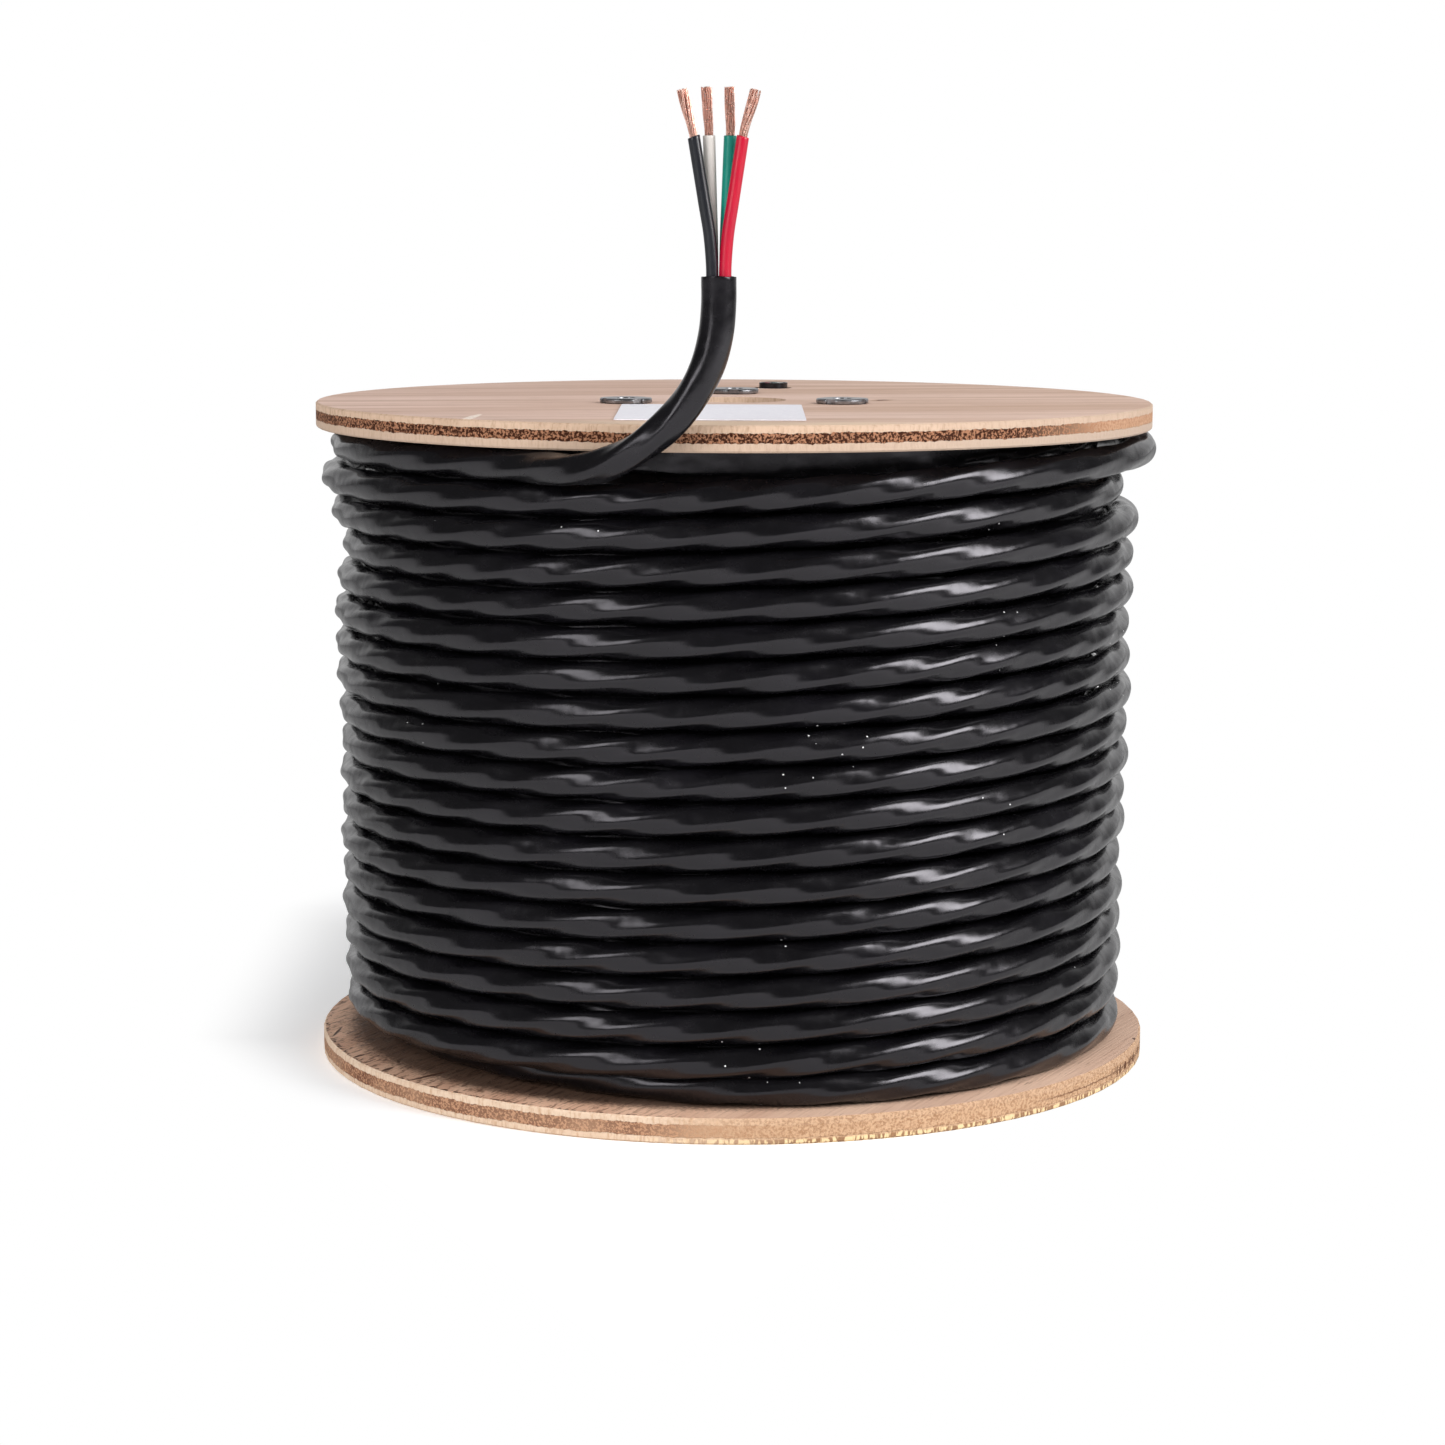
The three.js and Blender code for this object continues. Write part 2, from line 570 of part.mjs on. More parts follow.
/** The bare strands of a core as one twisted, flaring bundle. */
function copperStrands(core) {
  const direction = coreEndDirection(core);
  const lean = core.copperLean * DEGREES;
  const away = new THREE.Vector3(Math.sin(lean), 0, Math.cos(lean));
  const start = corePoints(core).at(-1).addScaledVector(direction, SEAT_GAP - COPPER_RECESS);
  const exit = COPPER_RECESS - SEAT_GAP;
  const pointsPerStrand = 3;
  const grooveDepth = 0.14;
  const side = new THREE.Vector3(1, 0, 0);
  const centre = start.clone();
  const rings = Array.from({ length: COPPER_STEPS + 1 }, (_, i) => {
    const outside = Math.max(0, i - 1) / (COPPER_STEPS - 1);
    if (i === 1) centre.addScaledVector(direction, exit);
    if (i > 1) centre.addScaledVector(away, COPPER_LENGTH / (COPPER_STEPS - 1));
    const width = COPPER_RADIUS * THREE.MathUtils.lerp(1, COPPER_FLARE, outside);
    const across = side.clone().applyAxisAngle(away, STRAND_TWIST * outside);
    const radiusAt = (angle) => width * (1 - grooveDepth * (0.5 + 0.5 * Math.cos(angle * STRANDS_AROUND)));
    const facing = i < 2 ? direction : away;
    return ringAt(centre, facing, across, radiusAt, STRANDS_AROUND * pointsPerStrand);
  });
  return loft(rings);
}

// ---- The assembly ----------------------------------------------------------------------------

const FINISHES = {
  plywood: { color: 0xd3b39c, roughness: 0.8, metalness: 0 },
  fibreboard: { color: 0x8f6f4f, roughness: 0.9, metalness: 0 },
  zincSteel: { color: 0xb4b6ba, roughness: 0.35, metalness: 1 },
  paper: { color: 0xf0edf2, roughness: 0.7, metalness: 0 },
  jacket: { color: 0x111113, roughness: 0.28, metalness: 0 },
  copper: { color: 0xc9826b, roughness: 0.35, metalness: 1 },
};

const reel = new THREE.Group();

function addPiece(name, geometry, finish) {
  const piece = new THREE.Mesh(geometry, new THREE.MeshStandardMaterial(finish));
  piece.name = name;
  reel.add(piece);
}

addPiece('bottom_flange', bottomFlange(), FINISHES.plywood);
addPiece('top_flange', topFlange(), FINISHES.plywood);
addPiece('barrel', barrel(), FINISHES.fibreboard);
atEachTie((angle, number) => {
  addPiece(`tie_bolt_${number}`, tieBolt(angle), FINISHES.zincSteel);
  addPiece(`tee_nut_${number}`, teeNut(angle), FINISHES.zincSteel);
});
addPiece('flange_label', flangeLabel(), FINISHES.paper);
addPiece('cable_pack', cablePack(), FINISHES.jacket);
addPiece('cable_outer_layer', cableOuterLayer(), FINISHES.jacket);
addPiece('cable_inner_end', cableInnerEnd(), FINISHES.jacket);
addPiece('cable_tail', cableTail(), FINISHES.jacket);
for (const core of CORES) {
  const insulation = { color: core.colour, roughness: 0.35, metalness: 0 };
  addPiece(`conductor_${core.name}`, conductor(core), insulation);
  addPiece(`copper_strands_${core.name}`, copperStrands(core), FINISHES.copper);
}

export default reel;
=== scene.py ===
"""A plywood reel wound full of four-core cable, with its free end stripped. Metres, +Z up."""
import math

import bpy
import numpy as np
from mathutils import Matrix, Vector


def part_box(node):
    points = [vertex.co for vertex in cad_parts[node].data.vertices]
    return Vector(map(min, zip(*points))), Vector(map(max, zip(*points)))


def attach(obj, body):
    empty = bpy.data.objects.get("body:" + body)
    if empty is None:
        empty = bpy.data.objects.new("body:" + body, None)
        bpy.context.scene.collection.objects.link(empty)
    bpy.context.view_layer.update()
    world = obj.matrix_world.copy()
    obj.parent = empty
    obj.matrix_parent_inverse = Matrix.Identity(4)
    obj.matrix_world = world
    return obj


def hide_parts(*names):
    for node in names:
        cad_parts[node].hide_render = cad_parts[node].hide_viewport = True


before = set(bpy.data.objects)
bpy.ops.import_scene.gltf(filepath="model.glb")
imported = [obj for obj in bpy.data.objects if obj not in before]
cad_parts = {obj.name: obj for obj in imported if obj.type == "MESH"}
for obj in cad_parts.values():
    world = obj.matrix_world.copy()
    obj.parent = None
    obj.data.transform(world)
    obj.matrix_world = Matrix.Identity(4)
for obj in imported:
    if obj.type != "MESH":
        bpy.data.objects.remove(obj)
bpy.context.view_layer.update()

MM = 0.001
TURN = 2 * math.pi
UP = np.array([0.0, 0.0, 1.0])
RIGHT = np.array([1.0, 0.0, 0.0])

# ---- Sizes read from the frame
LOWER_FLANGE_LOW, LOWER_FLANGE_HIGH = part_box("bottom_flange")
UPPER_FLANGE_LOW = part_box("top_flange")[0]
FLANGE_THICKNESS = LOWER_FLANGE_HIGH.z
BARREL_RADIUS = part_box("barrel")[1].x
INNER_END_LOW, INNER_END_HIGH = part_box("cable_inner_end")
CABLE_RADIUS = (INNER_END_HIGH.x - INNER_END_LOW.x) / 2
CABLE_DIAMETER = 2 * CABLE_RADIUS
SEAT_GAP = 0.3 * MM

# ---- The winding, on the CAD's path, but with a lead-in on the lower flange
WINDING_RADIUS_TOP = 147.5 * MM
WINDING_RADIUS_BOTTOM = 144 * MM
TURNS = 17.625
END_ANGLE = math.radians(225)
START_LEAD = 0.04
LEAD_IN_TURNS = 0.194  # lying flat on the lower flange before the climb begins
FLAT_SHARE = 0.625
FLAT_FADE_TURNS = 6
LOWEST_TURN = FLANGE_THICKNESS + SEAT_GAP + CABLE_RADIUS
HIGHEST_TURN = UPPER_FLANGE_LOW.z - SEAT_GAP - CABLE_RADIUS
CLIMB = HIGHEST_TURN - LOWEST_TURN
PITCH = CLIMB / (TURNS + START_LEAD)

# Where a turn stands out of the winding, or sinks in: turns before the end, reach, spread in turns.
LOOSE_TURNS = (
    (0.6, 7.1 * MM, 0.15), (1.17, 5.0 * MM, 0.1), (1.62, -4.2 * MM, 0.11), (2.1, 0.8 * MM, 0.2),
    (2.62, 1.0 * MM, 0.12), (3.12, -3.6 * MM, 0.11), (4.1, -0.8 * MM, 0.2), (7.6, 0.8 * MM, 0.3),
    (9.2, -0.9 * MM, 0.2), (12.6, -0.8 * MM, 0.3),
)

# Where a turn is pressed up by the one below it: turns before the end, lift, spread in turns.
LIFTED_TURNS = ((TURNS - 0.86, 0.7 * MM, 0.12), (TURNS - 1.86, 0.35 * MM, 0.12))

# Small unevenness of the outer layer: sideways, slow and quick, and upwards. Rates are per turn.
SETTLING_RATE = 2  # there is none at the layer's end
SWAY, SWAY_RATE, SWAY_BEAT = 0.45 * MM, 4.1, 1.3
RIPPLE, RIPPLE_RATE, RIPPLE_DRIFT = 0.25 * MM, 23.0, 7
HEAVE, HEAVE_RATE, HEAVE_DRIFT = 0.12 * MM, 17.0, 5.3

# The layer below the outer one, which rises to it at the outer layer's start.
UNDER_INSET = 11.0 * MM  # from the outer layer's centre line
RISE_TURNS = 0.15
UNDER_DIVE_TURNS = 0.4  # from its highest turn down into the pack
UNDER_HIDDEN_TURNS = 0.2
UNDER_SWAY, UNDER_SWAY_RATE = 0.6 * MM, 5.1
PACK_INSET = 3.5 * MM  # from the centre line of the layer below
OUTER_STEPS, UNDER_STEPS = 252, 150  # rings of points per turn

# ---- The cable's section
LAY = 138 * MM  # the cores' full twist
LOBE_DEPTH = 0.115  # of the valleys between the cores, as a share of the cable's radius
LOBES = 4
POINTS_PER_LOBE = 10
SECTION_SLACK = 0.1 * MM  # by which a wound cable is thinner than at its cut

# Seeded wanders along the cable: seed, size, wavelengths.
TWIST_WANDER = (3, 0.8, (0.31, 0.47, 0.83))
GIRTH_WANDER = (5, 0.12 * MM, (0.021, 0.053, 0.11))
LOBING_WANDER = (8, 0.25, (0.09, 0.21, 0.37))

# ---- The free end, its route as in the CAD: ahead along the cable, out from the reel, up
TAIL_ROUTE_MM = [
    (0, 0, 0), (11, 0, 0), (22, 0, 0), (33, 0, 0), (44, 0, 0),
    (54, -0.3, 0), (64, -1.6, 1.2), (73.5, -4.2, 4.5), (82, -7.8, 9.7), (89.3, -12, 16.7),
    (95, -16, 25.2), (98.8, -19.2, 34.7), (100.6, -21.2, 45), (101, -22, 54.5), (101, -22, 63),
]
JACKET_WALL = 0.6 * MM
JACKET_RECESS = 3 * MM
ROUND_END = 12 * MM  # of the jacket, before its cut
ROUNDING_RUN = 60 * MM  # over which the valleys fade towards the cut
CUT_LOBING = 0.06
CORE_GAP = 0.2 * MM
CORE_FIT = 0.15 * MM
CORE_LENGTH = 44.5 * MM
CORE_STRAIGHT = 3 * MM
COPPER_LENGTH = 15.5 * MM
COPPER_RECESS = 2 * MM
INSULATION_WALL = 0.6 * MM
JACKET_BORE_RADIUS = CABLE_RADIUS - JACKET_WALL
CORE_DIAMETER = (2 * (JACKET_BORE_RADIUS - CORE_FIT) - math.sqrt(2) * CORE_GAP) / (1 + math.sqrt(2))
CORE_OFFSET = (CORE_DIAMETER + CORE_GAP) / 2
CORE_BENDS = 4
SLANT_RUN = 4 * MM
CORE_BORE_SHARE = 1 - 2 * INSULATION_WALL / CORE_DIAMETER
# The core's cut: shares of its radius, and heights in mm.
CORE_CUT = (
    (0.96, 0.1), (0.88, 0.16), (CORE_BORE_SHARE + 0.04, 0.16), (CORE_BORE_SHARE, 0.06),
    (CORE_BORE_SHARE, -0.6), (CORE_BORE_SHARE, -COPPER_RECESS / MM),
)
# name, left or right, front or back, lean and copper's lean in degrees, slant of the cut
CORES = (
    ("black", -1, -1, -9.4, -14, 0.18),
    ("white", -1, 1, -1.8, -3, 0.0),
    ("green", 1, 1, 2.2, -1, 0.03),
    ("red", 1, -1, 8.6, 15, -0.12),
)
FIRST_SEED = 11
STRAND_COUNTS = (1, 6, 12, 18)  # from the bundle's middle outwards
STRAND_SIDES = 8
STRAND_RADIUS = 0.165 * MM
STRAND_CLEARANCE = 0.05 * MM
STRAND_TWIST = math.radians(75)
STRAND_FLARE = 0.34
# How far single strands differ: around the bundle, in twist, flare, place and length.
AROUND, TWISTING, FLARING, WOBBLE, SHORTENING = 0.15, 0.25, 0.14, 0.05 * MM, 0.035

# ---- The inner end, cut off above the upper flange
INNER_CUT_DEPTH = 0.5 * MM  # below the solid's top
INNER_TWIST, INNER_LOBING, INNER_SLACK = 0.6, 0.75, 0.05 * MM
INNER_CORES = ("black", "red", "green", "white")
INNER_CORE_SPREAD = 0.44 * CABLE_RADIUS
INNER_CORE_RADIUS = 1.72 * MM
INNER_CORE_ENDS = (-1.6 * MM, -0.1 * MM)  # from the jacket's cut
INNER_STRAND_COUNTS = (1, 6, 12)
INNER_STRAND_SPACING = 0.4 * MM
INNER_STRAND_RADIUS = 0.19 * MM
INNER_STRAND_ENDS = (-0.6 * MM, 0.02 * MM)  # from the core's end
# Their cuts: shares of the radius, and heights in mm.
INNER_JACKET_CUT = ((0.97, 0.1), (0.94, 0.14), (0.89, 0.14), (0.87, 0.05), (0.87, -2))
INNER_CORE_CUT = ((0.93, 0.1), (0.62, 0.1), (0.6, 0.0), (0.6, -0.6))

# ---- Colours, linear
UPPER_PLIES = {
    "top": 2.5 * MM, "core": 3.4 * MM,
    "cream": (0.62, 0.44, 0.32, 1), "tan": (0.44, 0.29, 0.19, 1),
    "brown": (0.042, 0.012, 0.005, 1), "fleck": (0.36, 0.17, 0.095, 1),
    "face": (0.76, 0.555, 0.465, 1), "face_shade": (0.58, 0.385, 0.285, 1),
    "face_left": (0.76, 0.555, 0.475, 1), "face_left_shade": (0.58, 0.385, 0.295, 1),
    # The upper underside's colour is painted shade, far darker than its wood.
    "under": (0.10, 0.055, 0.035, 1),
}
LOWER_PLIES = {
    "top": 2.3 * MM, "core": 4.3 * MM,
    "cream": (0.79, 0.61, 0.46, 1), "tan": (0.60, 0.38, 0.24, 1),
    "brown": (0.18, 0.075, 0.045, 1), "fleck": (0.52, 0.28, 0.165, 1),
    "face": (0.80, 0.55, 0.41, 1), "face_shade": (0.69, 0.45, 0.33, 1),
    "face_left": (0.84, 0.53, 0.37, 1), "face_left_shade": (0.68, 0.39, 0.26, 1),
    "under": (0.60, 0.37, 0.22, 1),
}
POROUS_TAN = (0.60, 0.385, 0.24, 1)
POROUS_BROWN = (0.40, 0.225, 0.125, 1)
EDGE_YELLOW = (0.80, 0.60, 0.34, 1)
PALE_SCRAPE = (0.93, 0.82, 0.72, 1)
GRAIN_BROWN = (0.33, 0.17, 0.095, 1)
DARK_PORE = (0.12, 0.05, 0.025, 1)
JACKET_BLACK = (0.0028, 0.0026, 0.0032, 1)
DUST = (0.7, 0.7, 0.7, 1)
JACKET_FILM = (0.0055, 0.005, 0.0065, 1)
# The cores' insulation: colour, shade in its clouds, roughness.
INSULATION = {
    "black": ((0.006, 0.007, 0.010, 1), (0.010, 0.011, 0.016, 1), 0.3),
    "white": ((0.58, 0.54, 0.51, 1), (0.65, 0.62, 0.58, 1), 0.36),
    "green": ((0.0, 0.23, 0.17, 1), (0.0, 0.17, 0.13, 1), 0.36),
    "red": ((0.50, 0.0, 0.020, 1), (0.43, 0.0, 0.024, 1), 0.34),
}
COPPER_BRIGHT = (0.96, 0.63, 0.53, 1)
COPPER_DULL = (0.78, 0.43, 0.34, 1)
COPPER_GLINT = (1, 0.80, 0.70, 1)
ZINC_DARK = (0.20, 0.20, 0.21, 1)
ZINC_LIGHT = (0.42, 0.42, 0.44, 1)
BOARD_BROWN = (0.30, 0.18, 0.10, 1)
BOARD_TAN = (0.40, 0.26, 0.15, 1)
BOARD_FIBRE = (0.2, 0.11, 0.06, 1)
PAPER_GREY = (0.80, 0.78, 0.84, 1)
PAPER_WHITE = (0.87, 0.86, 0.90, 1)
RULED_BLUE = (0.42, 0.44, 0.60, 1)
CORE_TAN_LIGHT = (0.50, 0.30, 0.19, 1)
CORE_TAN_DARK = (0.36, 0.18, 0.10, 1)
DULL_CREAM = (0.45, 0.335, 0.26, 1)
HEM_BROWN = (0.30, 0.16, 0.08, 1)
KNOT_BROWN = (0.34, 0.18, 0.10, 1)
SANDED_CREAM = (0.72, 0.55, 0.38, 1)
FUZZ_BROWN = (0.15, 0.065, 0.035, 1)
# Painted shade on the lower face beside the winding
WINDING_PAINTED_SHADE = (0.05, 0.024, 0.014, 1)
CRACK_BROWN = (0.09, 0.034, 0.016, 1)

# ---- Plies and marks of the wood
PLY_BLEND = 0.1 * MM
# x, y, half length, half width, turn in degrees
KNOT = (0.054, 0.0, 0.0085, 0.0042, 56)
SCRATCHES = ((-0.0885, -0.116, 0.027, 0.0022, 85), (-0.0885, -0.139, 0.011, 0.0022, 97))
CRACKS = (
    (-0.1212, -0.085, 0.0042, 0.0011, 61), (-0.106, -0.0947, 0.0105, 0.0011, 47),
    (-0.1333, -0.0656, 0.0035, 0.0009, 57), (-0.1452, -0.0286, 0.0085, 0.0006, 84),
    (0.1476, -0.0359, 0.0030, 0.0008, -74),
)

# ---- Camera and stage
CAMERA_PLACE = Vector((0.0, -1.3096, 0.3116))
CAMERA_PITCH, CAMERA_YAW, CAMERA_ROLL = 0.14496, -0.00299, 0.00298
SENSOR_MM, LENS_MM = 36, 88.77
FLOOR_HALF_SIZE = 6.0
FLOOR_DROP = 0.05 * MM
FLOOR_COLOUR = (0.8, 0.8, 0.8, 1)  # for the light that falls on the reel
FLOOR_SHOWN = (1.25, 1.25, 1.26, 1)  # to the camera
# The floor fades to white with the distance sideways from FADE_MIDDLE, sooner in front and behind.
FADE_MIDDLE, FADE_START, FADE_END = -0.025, 0.130, 0.182
FADE_IN_FRONT = -0.47
FADE_BEHIND, BEHIND_FROM = 0.4, 0.25
AMBIENT_STRENGTH = 0.55
# What glossy surfaces mirror: bright towards the backdrop, dim elsewhere.
BACKDROP_FROM, BACKDROP_FULL = 0.48, 0.9
MIRRORED_DIM, MIRRORED_BRIGHT = 0.11, 1.0
# name, place, width and height, power, seen in reflections
LAMPS = (
    ("key_right", (1.50, -0.80, 1.05), (0.85, 0.95), 32, True),
    ("front_left", (-1.10, -1.31, 0.9), (0.5, 0.9), 7, True),
    ("left_fill", (-1.0, -2.1, 0.8), (1.2, 1.2), 24, False),
)
LAMP_TARGET = Vector((0, 0, 0.12))
SHARP_EDGE = math.radians(32)


# ---- Camera

def add_object(name, data):
    made = bpy.data.objects.new(name, data)
    bpy.context.scene.collection.objects.link(made)
    return made


def make_camera():
    """The photograph's fitted camera."""
    level = math.cos(CAMERA_PITCH)
    forward = Vector((math.sin(CAMERA_YAW) * level, math.cos(CAMERA_YAW) * level, -math.sin(CAMERA_PITCH)))
    level_right = Vector((math.cos(CAMERA_YAW), -math.sin(CAMERA_YAW), 0))
    level_up = level_right.cross(forward)
    right = level_right * math.cos(CAMERA_ROLL) + level_up * math.sin(CAMERA_ROLL)
    above = right.cross(forward)
    data = bpy.data.cameras.new("camera")
    data.sensor_width = SENSOR_MM
    data.lens = LENS_MM
    data.clip_start, data.clip_end = 0.05, 50
    camera = add_object("camera", data)
    axes = Matrix((right, above, -forward)).transposed().to_4x4()
    camera.matrix_world = Matrix.Translation(CAMERA_PLACE) @ axes
    bpy.context.scene.camera = camera


# ---- Mesh helpers

def add_piece(name, vertices, faces, material, slot, sharp, replaced=()):
    """A visible piece on the reel's body, smooth but for edges sharper than so many degrees."""
    mesh = bpy.data.meshes.new(name)
    mesh.from_pydata([tuple(v) for v in vertices], [], faces)
    mesh.update()
    mesh.polygons.foreach_set("use_smooth", [True] * len(mesh.polygons))
    mesh.set_sharp_from_angle(angle=math.radians(sharp))
    mesh.materials.append(material)
    piece = add_object(name, mesh)
    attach(piece, "root")
    if replaced:
        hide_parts(*replaced)
    return piece


def loft(rings, first=0):
    """Vertices and outward faces of a closed body through rings of points, numbered from first."""
    rings = np.asarray(rings)
    count = rings.shape[1]
    vertices = list(rings.reshape(-1, 3))
    faces = []
    for i in range(len(rings) - 1):
        for k in range(count):
            here, beside = first + i * count + k, first + i * count + (k + 1) % count
            faces.append((beside, beside + count, here + count, here))
    for ring, forward in ((0, False), (len(rings) - 1, True)):
        centre = first + len(vertices)
        vertices.append(rings[ring].mean(0))
        for k in range(count):
            here, beside = first + ring * count + k, first + ring * count + (k + 1) % count
            faces.append((centre, here, beside) if forward else (centre, beside, here))
    return vertices, faces


def unit(v):
    return v / np.linalg.norm(v, axis=-1, keepdims=True)


def tangents(line):
    return unit(np.gradient(line, axis=0))


def carried_normals(line, first):
    """Normals along a line, carried from the first without twisting."""
    along = tangents(line)
    normals = [unit(first - along[0] * (first @ along[0]))]
    for direction in along[1:]:
        carried = normals[-1] - direction * (normals[-1] @ direction)
        normals.append(unit(carried))
    return np.array(normals)


def catmull(points, samples):
    """Points along the smooth curve through points, with centripetal spacing."""
    points = np.asarray(points, float)
    padded = np.vstack([2 * points[0] - points[1], points, 2 * points[-1] - points[-2]])
    line = []
    for i in range(len(points) - 1):
        p0, p1, p2, p3 = padded[i:i + 4]
        knots = np.cumsum([0, *np.linalg.norm(np.diff(padded[i:i + 4], axis=0), axis=1) ** 0.5])
        for t in np.linspace(knots[1], knots[2], samples, endpoint=False):
            a1 = lerp_at(p0, p1, knots[0], knots[1], t)
            a2 = lerp_at(p1, p2, knots[1], knots[2], t)
            a3 = lerp_at(p2, p3, knots[2], knots[3], t)
            b1 = lerp_at(a1, a2, knots[0], knots[2], t)
            b2 = lerp_at(a2, a3, knots[1], knots[3], t)
            line.append(lerp_at(b1, b2, knots[1], knots[2], t))
    line.append(points[-1])
    return np.array(line)


def lerp_at(a, b, start, end, t):
    """Between a at start and b at end."""
    return a + (b - a) * (t - start) / (end - start)


def smooth(t):
    t = np.clip(t, 0, 1)
    return t * t * (3 - 2 * t)


def lengths(line):
    return np.concatenate([[0], np.cumsum(np.linalg.norm(np.diff(line, axis=0), axis=1))])


def rays(across, beside, sides):
    """Unit rays around each point of a line, from its two normals there."""
    angle = np.arange(sides) / sides * TURN
    return (np.cos(angle)[None, :, None] * across[:, None, :]
            + np.sin(angle)[None, :, None] * beside[:, None, :])


def plain_rings(line, radius, sides):
    normals = carried_normals(line, RIGHT)
    return line[:, None, :] + radius * rays(normals, np.cross(tangents(line), normals), sides)


def with_cut(rings, centre, direction, steps):
    """The rings, and a cut after them: the last ring again at other shares and heights in mm."""
    rim = rings[-1]
    cut = [centre + (rim - centre) * share + direction * height * MM for share, height in steps]
    return np.concatenate([rings, cut])


def add_strand(body, line, radius):
    """Adds a thin round strand to a body, which is its vertices and faces."""
    vertices, faces = body
    more_vertices, more_faces = loft(plain_rings(line, radius, STRAND_SIDES), first=len(vertices))
    vertices += more_vertices
    faces += more_faces


def outward_at(points):
    """Level directions away from the reel's axis."""
    return unit(points * [1, 1, 0])


def polar(radius, angle, z):
    return np.stack([radius * np.cos(angle), radius * np.sin(angle), z * np.ones_like(angle)], -1)


# ---- The cable's path on the reel

def winding_radius(z):
    """From the reel's axis to the outer layer's centre line."""
    share = (z - LOWEST_TURN) / CLIMB
    return WINDING_RADIUS_BOTTOM + (WINDING_RADIUS_TOP - WINDING_RADIUS_BOTTOM) * share - CABLE_RADIUS


def hump(before, middle, size, spread):
    return size * np.exp(-((before - middle) / spread) ** 2)


def layer_line(before):
    """Centres of the outer layer, at numbers of turns before its end."""
    share = before - np.floor(before)
    stair = smooth((share - FLAT_SHARE) / (1 - FLAT_SHARE))
    lag = (share - stair) * np.exp(-before / FLAT_FADE_TURNS)
    lead = START_LEAD * (1 - smooth(TURNS - before))
    z = np.maximum(HIGHEST_TURN - PITCH * (before - lag + lead), LOWEST_TURN)
    radius = winding_radius(z)
    for turn in LIFTED_TURNS:
        z = z + hump(before, *turn)
    for turn in LOOSE_TURNS:
        radius = radius + hump(before, *turn)
    settled = 1 - np.exp(-before * SETTLING_RATE)
    radius = radius + settled * SWAY * np.sin(before * SWAY_RATE) * np.cos(before * SWAY_BEAT)
    radius = radius + settled * RIPPLE * np.sin(before * RIPPLE_RATE + np.sin(before * RIPPLE_DRIFT))
    z = z + settled * HEAVE * np.sin(before * HEAVE_RATE + 2 * np.sin(before * HEAVE_DRIFT))
    return polar(radius, END_ANGLE - before * TURN, z)


def under_line(past):
    """Centres of the layer below, at numbers of turns before the outer layer's start."""
    z = np.minimum(LOWEST_TURN + PITCH * np.maximum(past - RISE_TURNS / 2, 0), HIGHEST_TURN)
    dive = smooth((past - CLIMB / PITCH) / UNDER_DIVE_TURNS)
    radius = winding_radius(z) - UNDER_INSET * (smooth(past / RISE_TURNS) + dive)
    radius = radius + UNDER_SWAY * np.sin(past * UNDER_SWAY_RATE) * smooth(past)
    return polar(radius, END_ANGLE - (TURNS + LEAD_IN_TURNS + past) * TURN, z)


def lobed_rings(line, normals, twist, lobing, radius):
    """Rings of the four-lobed section, which turns by the twist while the points stay."""
    along = tangents(line)
    across = unit(normals - along * (normals * along).sum(-1, keepdims=True))
    count = LOBES * POINTS_PER_LOBE
    angle = np.arange(count) / count * TURN
    valley = LOBE_DEPTH * (1 - np.cos(LOBES * (angle[None, :] - twist[:, None]))) / 2
    lobing = np.broadcast_to(lobing, len(line))[:, None]
    radius = np.broadcast_to(radius, len(line))[:, None]
    reach = radius * (1 - lobing * valley)
    return line[:, None, :] + reach[..., None] * rays(across, np.cross(along, across), count)


def wandering(along, seed, size, wavelengths):
    """A gentle seeded wander along a length, from sines of several wavelengths."""
    rng = np.random.default_rng(seed)
    total = np.zeros_like(along)
    for length in wavelengths:
        total = total + np.sin(along / length * TURN + rng.uniform(0, TURN))
    return size * total / len(wavelengths)


def twist_along(along):
    return -along / LAY * TURN + wandering(along, *TWIST_WANDER)


def make_winding(material):
    """The outer layer and the one below it, as one length of cable."""
    under_turns = CLIMB / PITCH + UNDER_DIVE_TURNS + UNDER_HIDDEN_TURNS
    past = np.arange(int(under_turns * UNDER_STEPS), 0, -1) / UNDER_STEPS
    before = np.append(np.arange(TURNS + LEAD_IN_TURNS, 0, -1 / OUTER_STEPS), 0)
    line = np.vstack([under_line(past), layer_line(before)])
    run = layer_end_direction() * CABLE_DIAMETER
    line = np.vstack([line, line[-1] + np.linspace(0.2, 1, 5)[:, None] * run])
    along = lengths(line)
    along = along - along[-1]
    radius = CABLE_RADIUS + wandering(along, *GIRTH_WANDER) - SECTION_SLACK
    lobing = 1 + wandering(along, *LOBING_WANDER)
    rings = lobed_rings(line, outward_at(line), twist_along(along), lobing, radius)
    add_piece("cable_winding", *loft(rings), material,
              replaced=("cable_pack", "cable_outer_layer"), slot="cable_jacket", sharp=60)


def layer_end_direction():
    near = layer_line(np.array([1e-4, 0.0]))
    return unit(near[1] - near[0])


def make_pack_core(material):
    """The dark mass of cable under the two layers that can be seen."""
    inner = BARREL_RADIUS + SEAT_GAP
    low, high = LOWER_FLANGE_HIGH.z + SEAT_GAP, UPPER_FLANGE_LOW.z - SEAT_GAP
    inset = UNDER_INSET + PACK_INSET
    outline = [
        (inner, low), (winding_radius(LOWEST_TURN) - inset, low),
        (winding_radius(HIGHEST_TURN) - inset, high), (inner, high),
    ]
    add_piece("cable_deep_layers", *revolve(outline, 96), material,
              replaced=("cable_pack",), slot="cable_jacket", sharp=40)


